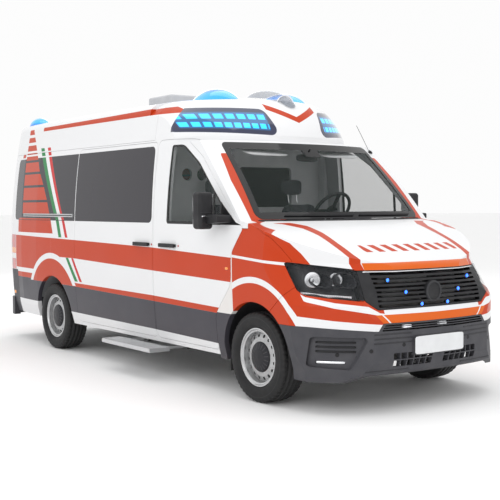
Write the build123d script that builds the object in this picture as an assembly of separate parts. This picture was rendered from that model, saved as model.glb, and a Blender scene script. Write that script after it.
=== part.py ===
from build123d import *
import math
import os

# Box ambulance on a panel van, in millimetres.
# X runs forward, Y to the vehicle's left and Z up from the road.
# The origin is on the road, midway between the ends of the vehicle.

# Driving dimensions
NOSE_X = 2993
TAIL_X = -2993
BODY_TAIL_X = -2950
WHEELBASE = 3640
FRONT_AXLE_X = 2020
REAR_AXLE_X = FRONT_AXLE_X - WHEELBASE
HALF_TRACK = 875
TYRE_RADIUS = 350
TYRE_WIDTH = 235
RIM_RADIUS = 222
ARCH_RADIUS = 430
LINER_RADIUS = 442
LINER_SKIN = 10
WHEEL_BAY_Y = 560
TUB_Y = 700

SILL_Z = 310
NOSE_LOW_Z = 240
FLOOR_Z = 560
FLOOR_THICKNESS = 40
ROOF_SEAM_Z = 2100
CAB_TOP_Z = 2062
ROOF_TOP_Z = 2525
SKIN = 45
GLASS = 8
GAP = 3

NOSE_TURN_X = -1000
BONNET_REAR_RADIUS = 3068
DOME_TURN_X = 350
MODULE_REAR_X = 450
REAR_CORNER_RADIUS = 140
# How far each side has moved in at three stations ahead of the rear face
REAR_TAPER = [(-2000, 0), (-2450, 20), (-2950, 80)]
# The plan view of the nose: full width up to the first height, drawn in above the second
NOSE_PLAN_LOW_Z = 790
NOSE_PLAN_HIGH_Z = 1090

KINGPIN_Y = 800
PANE_POCKET = 10
PANE_OVERLAP = 45


def prism_x(face, x0, x1):
    """A front view outline (Y, Z) carried along X."""
    return extrude(Plane(origin=(x0, 0, 0), x_dir=(0, 1, 0), z_dir=(1, 0, 0)) * face, amount=x1 - x0)


def prism_y(face, y0, y1):
    """A side view outline (X, Z) carried along Y."""
    return extrude(Plane(origin=(0, y1, 0), x_dir=(1, 0, 0), z_dir=(0, -1, 0)) * face, amount=y1 - y0)


def prism_z(face, z0, z1):
    """A plan view outline (X, Y) carried along Z."""
    return extrude(Plane(origin=(0, 0, z0)) * face, amount=z1 - z0)


def box(x0, x1, y0, y1, z0, z1):
    """A block between two corners."""
    centre = Pos((x0 + x1) / 2, (y0 + y1) / 2, (z0 + z1) / 2)
    return centre * Box(x1 - x0, y1 - y0, z1 - z0)


def outline(points, radii=0, grow=0):
    """A closed outline with rounded corners, made larger by grow all round."""
    if not isinstance(radii, (list, tuple)):
        radii = [radii] * len(points)
    face = make_face(FilletPolyline(*points, radius=list(radii), close=True))
    if grow:
        face = offset(face, amount=grow, kind=Kind.INTERSECTION)
    return face


def cylinder_y(x, z, radius, y0, y1):
    """A round bar across the vehicle."""
    return Pos(x, (y0 + y1) / 2, z) * Rot(90, 0, 0) * Cylinder(radius, y1 - y0)


def cylinder_x(y, z, radius, x0, x1):
    """A round bar along the vehicle."""
    return Pos((x0 + x1) / 2, y, z) * Rot(0, 90, 0) * Cylinder(radius, x1 - x0)


def other_side(shape):
    """The same piece on the other side of the vehicle."""
    return mirror(shape, Plane.XZ)


# Master body: the outer form, and the same form moved inwards by a thickness

def nose_face(t, low):
    """Side section of bumper, nose, bonnet and windscreen, turned about a far vertical axis."""
    top = CAB_TOP_Z - t
    return make_face([
        Polyline((300, low), (NOSE_X - 123, low), (NOSE_X - 43 - t, low + 60), (NOSE_X - t, 430), (NOSE_X - t, 560)),
        ThreePointArc((NOSE_X - t, 560), (2978 - t, 680), (2947 - t, 775)),
        Line((2947 - t, 775), (2886 - t, 1035 - 0.4 * t)),
        ThreePointArc((2886 - t, 1035 - 0.4 * t), (2868 - t, 1068 - 0.7 * t), (2830 - 0.7 * t, 1092 - t)),
        ThreePointArc((2830 - 0.7 * t, 1092 - t), (2440 - 0.4 * t, 1285 - t), (2035 - 0.5 * t, 1398 - t)),
        ThreePointArc((2035 - 0.5 * t, 1398 - t), (1722 - 0.9 * t, 1742 - 0.8 * t), (1385 - t, top)),
        Polyline((1385 - t, top), (300, top), (300, low)),
    ])


def dome_face(t):
    """Section of the rounded light housing over the cab, turned about a vertical axis."""
    x = DOME_TURN_X
    return make_face([
        Polyline((x, 2000), (x + 1035 - t, 2000), (x + 1030 - t, 2111)),
        ThreePointArc((x + 1030 - t, 2111), (x + 972 - t, 2235), (x + 885 - t, 2353 - 0.3 * t)),
        ThreePointArc((x + 885 - t, 2353 - 0.3 * t), (x + 800 - t, 2420 - 0.7 * t), (x + 650 - t, 2460 - t)),
        Polyline((x + 650 - t, 2460 - t), (x, ROOF_TOP_Z + 15 - t), (x, 2000)),
    ])


LOWER_SIDE = ((990, 425), (1020, 860), (1016, 1330))
UPPER_SIDE = ((1016, 1330), (992, 1720), (950, CAB_TOP_Z))


def width_face(t, low):
    """Front view section: sills, bulged sides, leaning upper sides and bowed roof."""
    edges = [Line((-(955 - t), low), (955 - t, low))]
    for side in (1, -1):
        edges += [
            Polyline((side * (955 - t), low), (side * (960 - t), 311), (side * (990 - t), 425)),
            ThreePointArc(*[(side * (y - t), z) for y, z in LOWER_SIDE]),
            ThreePointArc(*[(side * (y - t), z) for y, z in UPPER_SIDE]),
            Line((side * (950 - t), CAB_TOP_Z), (side * (905 - t), 2340)),
            ThreePointArc((side * (905 - t), 2340), (side * (880 - t), 2402 - 0.4 * t),
                          (side * (820 - t), 2440 - 0.9 * t)),
        ]
    edges.append(ThreePointArc((820 - t, 2440 - 0.9 * t), (0, ROOF_TOP_Z - t), (-(820 - t), 2440 - 0.9 * t)))
    return make_face(edges)


def tail_face(t, low):
    """Side section of the load space, with a rear face that leans in towards the roof."""
    x = BODY_TAIL_X + t
    return make_face([
        Polyline((301, low), (301, 2600), (x + 170, 2600)),
        ThreePointArc((x + 170, 2600), (x + 88, 2440), (x + 45, 2290)),
        Polyline((x + 45, 2290), (x + 5, 1300), (x, 600), (x, low), (301, low)),
    ])


def plan_face(t, drawn_in):
    """Half plan view that rounds the front corners, which are drawn in at bonnet height."""
    corner = [(2150, 1040 - t), (2660 - 0.5 * t, 915 - 0.8 * t), (2930 - 0.8 * t, 600 - 0.5 * t)]
    if drawn_in:
        corner = [(2100, 1035 - t), (2490 - 0.5 * t, 868 - 0.8 * t), (2730 - 0.8 * t, 600 - 0.5 * t)]
    return make_face([
        Polyline((-3100, 0), (-3100, 1040), corner[0]),
        ThreePointArc(*corner),
        Polyline(corner[2], (3015 - t, 0), (-3100, 0)),
    ])


def half_plan(t):
    """The left half of the plan view, drawn in between two heights and straight above and below them."""
    low = Pos(0, 0, NOSE_PLAN_LOW_Z) * plan_face(t, False)
    high = Pos(0, 0, NOSE_PLAN_HIGH_Z) * plan_face(t, True)
    block = prism_z(plan_face(t, False), 0, NOSE_PLAN_LOW_Z)
    block += loft([low, high], ruled=True)
    block += prism_z(plan_face(t, True), NOSE_PLAN_HIGH_Z, 2700)
    return block


def tapered_tail(t, low):
    """The load space's outer form, whose sides lean in towards the rear corners."""
    half = width_face(t, low) & Pos(-1500, 1500) * Rectangle(3000, 3000)
    body = prism_x(width_face(t, low), REAR_TAPER[0][0], 301)
    stations = REAR_TAPER + [(-3100, 98)]
    for (x0, shift0), (x1, shift1) in zip(stations[:-1], stations[1:]):
        start = Plane(origin=(x0, shift0, 0), x_dir=(0, 1, 0), z_dir=(1, 0, 0)) * half
        run = Vector(x1 - x0, shift1 - shift0, 0)
        side = extrude(start, amount=run.length, dir=run.normalized())
        side = side & box(-3200, 400, -1200, 0, 0, 2700)
        body += side + other_side(side)
    return body


def arc_half_width(start, middle, end, z):
    """Half width at height z on the arc through three points of the front view."""
    (y0, z0), (y1, z1), (y2, z2) = start, middle, end
    d = 2 * (y0 * (z1 - z2) + y1 * (z2 - z0) + y2 * (z0 - z1))
    s0, s1, s2 = y0 ** 2 + z0 ** 2, y1 ** 2 + z1 ** 2, y2 ** 2 + z2 ** 2
    centre_y = (s0 * (z1 - z2) + s1 * (z2 - z0) + s2 * (z0 - z1)) / d
    centre_z = (s0 * (y2 - y1) + s1 * (y0 - y2) + s2 * (y1 - y0)) / d
    radius = math.hypot(y0 - centre_y, z0 - centre_z)
    return centre_y + math.sqrt(radius ** 2 - (z - centre_z) ** 2)


def rear_levels():
    """Height, half width and rear face of the body at the levels that shape its rear corners."""
    levels = [(100, 955, 0), (311, 960, 0), (425, 990, 0)]
    for z, back in ((600, 0), (860, 2), (1095, 4), (1330, 6)):
        levels.append((z, arc_half_width(*LOWER_SIDE, z), back))
    for z, back in ((1525, 14), (1720, 22), (1890, 29), (2061, 36)):
        levels.append((z, arc_half_width(*UPPER_SIDE, z), back))
    return levels + [(2290, 913, 45), (2440, 889, 88), (2600, 863, 170)]


def rear_plan(t, half_width, back):
    """Half plan view of the load space at one level, rounded at its rear corner."""
    radius = REAR_CORNER_RADIUS - t
    rear_x = BODY_TAIL_X + back + t
    slope = 0.12
    turn_x = rear_x + radius
    side_y = half_width - t - REAR_TAPER[-1][1] + slope * (turn_x - BODY_TAIL_X)
    turn_y = side_y - radius * math.hypot(1, slope) - 0.5
    lean = math.atan(slope)
    arc = []
    for angle in (math.pi / 2 + lean, (1.5 * math.pi + lean) / 2, math.pi):
        arc.append((turn_x + radius * math.cos(angle), turn_y + radius * math.sin(angle)))
    return make_face([
        Polyline((301, 0), (301, 1200), (-1500, 1200), arc[0]),
        ThreePointArc(*arc),
        Polyline(arc[2], (rear_x, 0), (301, 0)),
    ])


def rounded_rear(t):
    """Block that rounds both rear corners, level by level."""
    faces = [Pos(0, 0, z) * rear_plan(t, width, back) for z, width, back in rear_levels()]
    block = loft(faces, ruled=True)
    return block + other_side(block)


def front_body(t, low):
    """The cab and nose as one solid, moved inwards by t."""
    sections = prism_x(width_face(t, low), 300, 3100)
    nose = revolve(Plane.XZ * nose_face(t, low), axis=Axis((NOSE_TURN_X, 0, 0), (0, 0, 1)))
    nose = nose & box(300, 3300, -1200, 1200, 0, CAB_TOP_Z + 10)
    dome = revolve(Plane.XZ * dome_face(t), axis=Axis((DOME_TURN_X, 0, 0), (0, 0, 1)))
    dome = dome & box(300, 3300, -1200, 1200, 1990, 2700)
    plan = half_plan(t)
    return (nose + dome) & sections & (plan + other_side(plan))


def master_body(t, low):
    """The whole body as one solid, moved inwards by t."""
    tail = prism_y(tail_face(t, low), -1200, 1200) & tapered_tail(t, low) & rounded_rear(t)
    return front_body(t, low) + tail


OUTER = master_body(0, NOSE_LOW_Z)
CAVITY = master_body(SKIN, 100)
SHELL = OUTER - CAVITY
GLASS_SHELL = OUTER - master_body(GLASS, 100)
PANE_SHELL = OUTER - master_body(PANE_POCKET, 100)
POCKET_SHELL = (OUTER & box(300, 3100, -1100, 1100, 0, 2700)) - front_body(30, 100)

# Side view outlines (X, Z) of doors and windows, as corners and corner radii
FRONT_DOOR = {
    "corners": [(530, 350), (530, 2092), (985, 2088), (1275, 1918), (1890, 1338), (1736, 1140), (1736, 900),
                (1500, 640), (1500, 350)],
    "radii": [50, 60, 250, 250, 25, 150, 180, 140, 40],
}
FRONT_DOOR_GLASS = {
    "corners": [(748, 1362), (766, 2042), (960, 2038), (1228, 1876), (1604, 1528), (1604, 1362)],
    "radii": [30, 25, 200, 250, 40, 30],
}
SLIDING_DOOR = {"corners": [(-1050, 350), (-1050, 2080), (514, 2080), (514, 350)], "radii": [60, 70, 50, 50]}
SLIDING_DOOR_GLASS = {"corners": [(-1044, 1366), (-1044, 2045), (478, 2045), (496, 1366)], "radii": [5, 5, 55, 55]}
REAR_SIDE_GLASS = {"corners": [(-2700, 1366), (-2670, 2045), (-1056, 2045), (-1056, 1366)], "radii": [55, 55, 5, 5]}
LEFT_SIDE_GLASS = {"corners": [(-2700, 1366), (-2670, 2045), (478, 2045), (496, 1366)], "radii": 55}

# Front view outlines (Y, Z), right-hand half where the piece is one of a pair
WINDSCREEN = {"corners": [(-882, 1408), (-798, 2046), (798, 2046), (882, 1408)], "radii": [50, 50, 50, 50]}
HEADLIGHT = {
    "corners": [(-957, 1096), (-957, 898), (-941, 867), (-847, 850), (-648, 825), (-619, 1045), (-860, 1080)],
    "radii": [12, 20, 20, 60, 12, 15, 60],
}
GRILLE = {
    "corners": [(-614, 1037), (-643, 827), (-547, 762), (547, 762), (643, 827), (614, 1037)],
    "radii": [10, 15, 15, 15, 15, 10],
}
SLATS = {"corners": [(-533, 1027), (-537, 774), (537, 774), (533, 1027)], "radii": 10}
BLUE_LENS = {"corners": [(-225, 2112), (-955, 2155), (-915, 2378), (-300, 2352)], "radii": [60, 30, 40, 60]}
REAR_DOOR = {
    "corners": [(-848, 500), (-862, 1330), (-780, 2238), (-4, 2238), (-4, 500)],
    "radii": [50, 200, 60, 1, 1],
}
REAR_DOOR_GLASS = {"corners": [(-770, 1370), (-715, 2045), (-110, 2045), (-110, 1370)], "radii": 60}
# Side view line (X, Z) where the bonnet meets the wings, and front view line (Y, Z) of the bumper's top
BONNET_SIDE = {
    "corners": [(1870, 1500), (1870, 1420), (1925, 1400), (2068, 1354), (2233, 1278), (2325, 1194), (2395, 1111),
                (2400, 1041), (2900, 1041), (2900, 1500)],
    "radii": [5, 5, 20, 60, 60, 60, 5, 5, 5, 5],
}
BUMPER_TOP = [(-1100, 640), (-950, 638), (-563, 606), (-520, 662), (520, 662), (563, 606), (950, 638), (1100, 640)]


def side_cut(shape, grow=0, y0=-1300, y1=-650):
    """Right-hand block behind a side view outline."""
    return prism_y(outline(shape["corners"], shape["radii"], grow), y0, y1)


def front_cut(shape, x0, x1, grow=0):
    """Block behind a front view outline."""
    return prism_x(outline(shape["corners"], shape["radii"], grow), x0, x1)


def both(shape):
    """A right-hand block with its left-hand twin."""
    return shape + other_side(shape)


# Blocks that split the shell into panels
def bonnet_block(grow):
    """The bonnet: above its side line, and ahead of a rear edge that follows the windscreen's foot."""
    block = prism_y(outline(BONNET_SIDE["corners"], BONNET_SIDE["radii"], grow), -1100, 1100)
    return block - Pos(NOSE_TURN_X, 0, 1300) * Cylinder(BONNET_REAR_RADIUS - grow, 700)


def scuttle_block(grow):
    """The strip between the bonnet's rear edge and the windscreen's foot."""
    strip = Pos(NOSE_TURN_X, 0, 1330) * Cylinder(BONNET_REAR_RADIUS - GAP + grow, 150)
    return strip & box(1840 - grow, 2120, -872 - grow, 872 + grow, 1250, 1403 + grow)


def arch_cut(x, radius, y0, y1):
    """Round wheel opening on the right, open towards the road."""
    return cylinder_y(x, TYRE_RADIUS, radius, y0, y1) + box(x - radius, x + radius, y0, y1, 0, TYRE_RADIUS)


ARCHES = both(arch_cut(FRONT_AXLE_X, ARCH_RADIUS, -1200, -700) + arch_cut(REAR_AXLE_X, ARCH_RADIUS, -1200, -700))
DOOR_HOLES = both(side_cut(FRONT_DOOR, GAP))
SLIDING_HOLE = side_cut(SLIDING_DOOR, GAP)
SCREEN_BLOCK = front_cut(WINDSCREEN, 1150, 2300)
HEADLIGHT_BLOCK = both(front_cut(HEADLIGHT, 2300, 3050))
HEADLIGHT_HOLE = both(front_cut(HEADLIGHT, 2300, 3050, GAP))
GRILLE_BLOCK = front_cut(GRILLE, 2600, 3050)
GRILLE_HOLE = front_cut(GRILLE, 2600, 3050, GAP + 1)
# The slanted joint that runs from the front wheel arch up to the headlight
NOSE_FRONT = prism_y(make_face(Polyline((2229, 200), (2229, 720), (2478, 921), (2478, 1036), (3050, 1036), (3050, 200),
                                        close=True)), -1100, 1100)
WING_ZONE = prism_y(make_face(Polyline((1503, SILL_Z - 30), (2226, SILL_Z - 30), (2226, 722), (2476, 924),
                                       (2600, 924), (2600, 1396), (1503, 1396), close=True)), -1100, 1100)
LIGHT_BLOCK = box(MODULE_REAR_X, 1500, -1100, 1100, CAB_TOP_Z - SKIN - 3, 2700)
REAR_DOOR_HOLE = both(front_cut(REAR_DOOR, -3000, -2790, 2)) + box(-3000, -2790, -6, 6, 498, 2240)
REAR_BUMPER_ZONE = box(-3050, -2796, -1100, 1100, 200, 484)
REAR_BUMPER_CORNERS = both(box(-3050, -2612, -1100, -866, 200, 797))
TAIL_LIGHT_BLOCK = both(box(-3000, -2668, -1100, -864, 800, 1195))


def front_wings():
    """Painted wings between door, bonnet, headlight and bumper."""
    wings = SHELL & WING_ZONE & both(box(1500, 2700, -1100, -560, 200, 1400))
    wings -= box(1490, 1963, -1100, 1100, 1338, 1400)
    for cut in (DOOR_HOLES, ARCHES, bonnet_block(GAP), scuttle_block(GAP), HEADLIGHT_HOLE, GRILLE_HOLE):
        wings -= cut
    return wings


def body_side(holes):
    """Right-hand body side from the windscreen pillar to the rear corner, with its openings."""
    zone = box(BODY_TAIL_X - 10, 1960, -1100, -640, SILL_Z, ROOF_SEAM_Z - 2)
    zone -= box(1497, 1960, -1100, 1100, 200, 1341)
    side = SHELL & zone
    for cut in [DOOR_HOLES, ARCHES, front_cut(WINDSCREEN, 1150, 2300, 2), LIGHT_BLOCK, REAR_DOOR_HOLE,
                REAR_BUMPER_ZONE, REAR_BUMPER_CORNERS, TAIL_LIGHT_BLOCK, scuttle_block(GAP), bonnet_block(GAP)] + holes:
        side -= cut
    return side


def glazed(panel, shape, cut):
    """A panel with a bonded pane's seat and the smaller opening behind it."""
    seat = PANE_SHELL & cut(shape, 0)
    return panel - seat - cut(shape, -PANE_OVERLAP)


def main_solids(shape, smallest=60000):
    """The real pieces of a cut, without slivers."""
    return Compound(children=[s for s in shape.solids() if s.volume > smallest])


def save(name, shape):
    """One STEP file per piece of the vehicle."""
    export_step(shape, os.path.join("parts", name + ".step"))


# Body panels and glass

def side_window(shape, grow):
    """Block behind a right-hand side window."""
    return prism_y(outline(shape["corners"], shape["radii"], grow), -1300, -650)


def left_window(shape, grow):
    """Block behind a left-hand side window."""
    return other_side(side_window(shape, grow))


def rear_window(shape, grow):
    """Block behind the right-hand rear window."""
    return prism_x(outline(shape["corners"], shape["radii"], grow), -3000, -2790)


def body_pieces():
    """Fixed panels, doors and glass cut from the shell."""
    door_window = side_cut(FRONT_DOOR_GLASS)
    right = glazed(body_side([SLIDING_HOLE]), REAR_SIDE_GLASS, side_window)
    left = glazed(other_side(body_side([])), LEFT_SIDE_GLASS, left_window)
    glass = GLASS_SHELL & (side_window(REAR_SIDE_GLASS, 0) + left_window(LEFT_SIDE_GLASS, 0))

    roof = SHELL & box(-3000, MODULE_REAR_X - GAP, -1100, 1100, ROOF_SEAM_Z, 2700)
    roof -= REAR_DOOR_HOLE
    roof -= DOOR_HOLES

    lens_cut = both(front_cut(BLUE_LENS, 700, 1500))
    housing = SHELL & LIGHT_BLOCK
    housing -= POCKET_SHELL & lens_cut
    housing -= DOOR_HOLES + SLIDING_HOLE
    housing -= front_cut(WINDSCREEN, 1150, 2300, 2)
    housing -= both(side_window(SLIDING_DOOR_GLASS, 0))
    lenses = GLASS_SHELL & lens_cut & LIGHT_BLOCK

    screen = GLASS_SHELL & front_cut(WINDSCREEN, 1150, 2300)
    scuttle = (SHELL & scuttle_block(0)) - bonnet_block(GAP)

    save("body_side_right", main_solids(right))
    save("body_side_left", main_solids(left))
    save("fixed_side_glass", main_solids(glass))
    save("roof_panel", main_solids(roof))
    save("roof_light_housing", main_solids(housing))
    save("blue_light_lenses", main_solids(lenses))
    save("windscreen", main_solids(screen))
    save("scuttle_panel", main_solids(scuttle))
    save("front_wings", main_solids(front_wings(), 2e6))

    save("bonnet", main_solids((SHELL & bonnet_block(0)) - HEADLIGHT_HOLE, 1e6))

    for side, turn in (("right", lambda s: s), ("left", other_side)):
        door = SHELL & side_cut(FRONT_DOOR)
        door -= door_window
        save("front_door_" + side, turn(main_solids(door, 1e6)))
        save("front_door_glass_" + side, turn(main_solids(GLASS_SHELL & door_window)))
        rear = SHELL & front_cut(REAR_DOOR, -3000, -2790)
        save("rear_door_" + side, turn(main_solids(glazed(rear, REAR_DOOR_GLASS, rear_window), 1e6)))
        save("rear_door_glass_" + side, turn(main_solids(GLASS_SHELL & rear_window(REAR_DOOR_GLASS, 0))))

    slide = SHELL & side_cut(SLIDING_DOOR)
    save("sliding_door", main_solids(glazed(slide, SLIDING_DOOR_GLASS, side_window), 1e6))
    save("sliding_door_glass", main_solids(GLASS_SHELL & side_window(SLIDING_DOOR_GLASS, 0)))
    save("tail_lights", main_solids((SHELL & TAIL_LIGHT_BLOCK) - REAR_DOOR_HOLE))


# Nose: bumper, painted panel, grille, headlights

INTAKES = [
    {"corners": [(-498, 652), (-540, 606), (540, 606), (498, 652)], "radii": [8, 8, 8, 8]},
    {"corners": [(-430, 442), (-430, 342), (-62, 342), (-62, 442)], "radii": 10},
    {"corners": [(62, 442), (62, 342), (430, 342), (430, 442)], "radii": 10},
]
FOG_RECESS = {"corners": [(-941, 572), (-958, 352), (-742, 334), (-628, 566)], "radii": 25}
REFLECTORS = [(-828, 975, 2700), (-695, 970, 2800)]
REFLECTOR_RADIUS = 50
EMBLEM_Z = 871
EMBLEM_RADIUS = 84
GRILLE_SLATS = 7
SLAT_HEIGHT = 16


def above_bumper(lift):
    """Block above the bumper's top line."""
    line = [(y, z + lift) for y, z in BUMPER_TOP]
    return prism_x(make_face(Polyline(*line, (1100, 1300), (-1100, 1300), close=True)), 2200, 3100)


def nose_pieces():
    """Bumper, front panel, grille and headlights."""
    upper, low_right, low_left = [front_cut(intake, 2500, 3100) for intake in INTAKES]
    bumper = (SHELL & NOSE_FRONT) - above_bumper(0) - upper - low_right - low_left
    bumper -= both(front_cut(FOG_RECESS, 2300, 3100)) & POCKET_SHELL
    bumper -= ARCHES
    bumper = main_solids(bumper, 2e5)
    for z in (621, 637):
        bumper += SHELL & box(2700, 3050, -620, 620, z - 3, z + 3) & upper
    bars = box(2700, 3050, -480, 480, 388, 396)
    for i in range(1, 6):
        y = 62 + 61.3 * i
        bars += both(box(2700, 3050, -y - 4, -y + 4, 340, 444))
    bumper += SHELL & bars & (low_right + low_left)
    bumper += box(2965, 2990, -262, 262, 420, 556)
    save("front_bumper", bumper)

    panel = SHELL & NOSE_FRONT & above_bumper(2)
    for cut in (HEADLIGHT_HOLE, GRILLE_HOLE, ARCHES, bonnet_block(GAP)):
        panel -= cut
    save("front_panel", main_solids(panel, 2e5))

    gaps = front_cut(SLATS, 2600, 3050)
    pitch = (1027 - 774) / (GRILLE_SLATS + 1)
    for i in range(GRILLE_SLATS):
        z = 774 + pitch * (i + 1)
        gaps -= box(2600, 3050, -600, 600, z - SLAT_HEIGHT / 2, z + SLAT_HEIGHT / 2)
    grille = SHELL & (GRILLE_BLOCK - gaps)
    grille += cylinder_x(0, EMBLEM_Z, EMBLEM_RADIUS, 2860, 2932)
    save("grille", main_solids(grille, 1e4))

    lenses = GLASS_SHELL & HEADLIGHT_BLOCK
    save("headlight_lenses", main_solids(lenses))
    behind_lens = front_body(14, 100) & HEADLIGHT_BLOCK
    bowl = (behind_lens & front_body(75, 100)) - front_body(105, 100)
    for y, z, x in REFLECTORS:
        bowl += both(cylinder_x(y, z, REFLECTOR_RADIUS + 8, x - 190, x)) & behind_lens
        bowl -= both(cylinder_x(y, z, REFLECTOR_RADIUS, x - 150, x + 50))
    save("headlight_units", main_solids(bowl, 2e4))


# Underbody, axles and power unit

BOLTS_CENTRE_X = -950
BOLTS_LONG = 1500
BOLTS_WIDE = 450
BOLT_HOLE_RADIUS = 6
RAIL_Y = 440
RAIL_WIDTH = 80
STEP_ARM_X = (-20, 665)


def underbody():
    """Load floor, wheel tubs, toe board, rails and cross members."""
    plate = box(-2885, 1555, -1100, 1100, FLOOR_Z - FLOOR_THICKNESS, FLOOR_Z)
    plate += box(1500, 1780, -WHEEL_BAY_Y + 20, WHEEL_BAY_Y - 20, FLOOR_Z - FLOOR_THICKNESS, FLOOR_Z)
    toe = box(1780, 1810, -WHEEL_BAY_Y + 20, WHEEL_BAY_Y - 20, FLOOR_Z - FLOOR_THICKNESS, 800)
    toe += box(1780, 1810, -1100, 1100, 800, 998)
    shape = (plate + toe) & CAVITY
    shape -= both(box(1500, 1900, -1100, -862, 1100, 1600))
    shape -= both(cylinder_y(REAR_AXLE_X, TYRE_RADIUS, LINER_RADIUS, -1100, -TUB_Y))
    tub = cylinder_y(REAR_AXLE_X, TYRE_RADIUS, LINER_RADIUS + LINER_SKIN + 5, -1100, -TUB_Y + 12)
    tub -= cylinder_y(REAR_AXLE_X, TYRE_RADIUS, LINER_RADIUS, -1100, -TUB_Y)
    tub = tub & CAVITY & box(-3000, 0, -1100, 1100, FLOOR_Z - FLOOR_THICKNESS, 1000)
    shape += both(tub)
    for dx in (-BOLTS_LONG / 2, BOLTS_LONG / 2):
        for dy in (-BOLTS_WIDE / 2, BOLTS_WIDE / 2):
            shape -= Pos(BOLTS_CENTRE_X + dx, dy, FLOOR_Z) * Cylinder(BOLT_HOLE_RADIUS, 200)
    return shape


def chassis_frame():
    """Two rails with cross members below the floor."""
    top = FLOOR_Z - FLOOR_THICKNESS
    rails = both(box(-2780, 2790, -RAIL_Y - RAIL_WIDTH / 2, -RAIL_Y + RAIL_WIDTH / 2, top - 90, top - 1))
    for x in (-2500, -2050, -1050, -450, 200, 850, 1400):
        rails += box(x - 30, x + 30, -RAIL_Y, RAIL_Y, top - 70, top - 1)
    rails += step_guides()
    for x in (-2400, -900, -250, 650, 1200):
        rails += both(box(x - 25, x + 25, -920, -RAIL_Y, top - 45, top - 1))
    rails += box(2790, 2835, -640, 640, 420, 520)
    for x in STEP_ARM_X:
        rails += box(x - 30, x + 30, -780, -RAIL_Y, 332, top - 45)
    return rails


def front_axle():
    """Subframe and lower arms that carry the knuckles."""
    frame = box(1800, 2260, -420, 420, 250, 300)
    frame -= box(1880, 2180, -300, 300, 200, 350)
    for x in (1830, 2230):
        frame += both(box(x - 30, x + 30, -RAIL_Y - 30, -380, 250, 429))
    arm = prism_z(outline([(1850, -400), (2190, -400), (2050, -650), (1990, -650)], 12), 262, 286)
    frame += both(arm)
    return frame


def rear_axle():
    """Beam axle with leaf springs, dampers and hubs."""
    axle = cylinder_y(REAR_AXLE_X, TYRE_RADIUS, 45, -740, 740)
    axle += both(cylinder_y(REAR_AXLE_X, TYRE_RADIUS, 140, -748, -728))
    axle += both(cylinder_y(REAR_AXLE_X, TYRE_RADIUS, 62, -860, -720))
    for side in (-1, 1):
        y = side * 560
        spring = prism_y(make_face([
            ThreePointArc((REAR_AXLE_X - 640, 430), (REAR_AXLE_X, 392), (REAR_AXLE_X + 640, 430)),
            Line((REAR_AXLE_X + 640, 430), (REAR_AXLE_X + 640, 416)),
            ThreePointArc((REAR_AXLE_X + 640, 416), (REAR_AXLE_X, 370), (REAR_AXLE_X - 640, 416)),
            Line((REAR_AXLE_X - 640, 416), (REAR_AXLE_X - 640, 430)),
        ]), y - 32, y + 32)
        axle += spring
        for x in (REAR_AXLE_X - 620, REAR_AXLE_X + 620):
            axle += box(x - 20, x + 20, min(side * 481, side * 600), max(side * 481, side * 600), 418, 519)
    return axle


def tanks():
    """Fuel tank on one side and silencer on the other."""
    tank = box(-560, 180, 500, 860, 285, 470)
    tank = fillet(tank.edges(), 30)
    return tank


def exhaust():
    """Pipe from the engine to the silencer and out behind the rear wheel."""
    path = FilletPolyline((2050, -100, 380), (1700, -100, 330), (-300, -100, 330), (-520, -620, 380),
                          (-900, -620, 380), radius=60)
    pipe = sweep(Plane(origin=path @ 0, z_dir=path % 0) * Circle(28), path=path)
    pipe += Pos(300, -100, 340) * Rot(0, 90, 0) * extrude(Ellipse(75, 120), amount=560)
    return pipe


def engine():
    """Power unit with its cover, and the radiator ahead of it."""
    block = fillet(box(2140, 2660, -360, 330, 440, 900).edges(), 40)
    block += fillet(box(2200, 2620, -280, 260, 880, 985).edges(), 25)
    block += box(2730, 2780, -390, 390, 420, 900)
    return block


# Wheels and steering

def tyre(x, y):
    """A tyre with bulged walls and a flat crown."""
    half = TYRE_WIDTH / 2
    section = make_face([
        Line((211, -80), (211, 80)),
        Polyline((211, 80), (228, 86), (228, half - 12)),
        ThreePointArc((228, half - 12), (282, half), (325, half - 14)),
        ThreePointArc((325, half - 14), (342, half - 24), (TYRE_RADIUS, half - 45)),
        Line((TYRE_RADIUS, half - 45), (TYRE_RADIUS, -half + 45)),
        ThreePointArc((TYRE_RADIUS, -half + 45), (342, -half + 24), (325, -half + 14)),
        ThreePointArc((325, -half + 14), (282, -half), (228, -half + 12)),
        Polyline((228, -half + 12), (228, -86), (211, -80)),
    ])
    body = revolve(Plane.XY * section, axis=Axis.Y)
    return Pos(x, y, TYRE_RADIUS) * body


def rim(x, side):
    """Steel wheel: barrel with flanges, dished disc with a ring of round holes, and hub cap."""
    section = make_face(Polyline(
        (222, 88), (226, 97), (216, 97), (210, 88), (198, 84), (198, 40), (184, 50), (150, 62), (118, 64),
        (114, 72), (96, 80), (60, 88), (0, 92), (0, 76), (48, 70), (52, 20), (52, 16), (100, 26),
        (110, 50), (148, 48), (192, 22), (192, -84), (210, -88), (216, -97), (226, -97), (222, -88),
        (208, -82), (208, 82), (222, 88), close=True))
    wheel = revolve(Plane.XY * section, axis=Axis.Y)
    for i in range(WHEEL_HOLES):
        angle = 360 / WHEEL_HOLES * (i + 0.5)
        wheel -= Rot(0, angle, 0) * Pos(WHEEL_HOLE_CIRCLE, 60, 0) * Rot(90, 0, 0) * Cylinder(14, 90)
    if side < 0:
        wheel = other_side(wheel)
    return Pos(x, side * HALF_TRACK, TYRE_RADIUS) * wheel


WHEEL_HOLES = 16
WHEEL_HOLE_CIRCLE = 166


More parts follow.
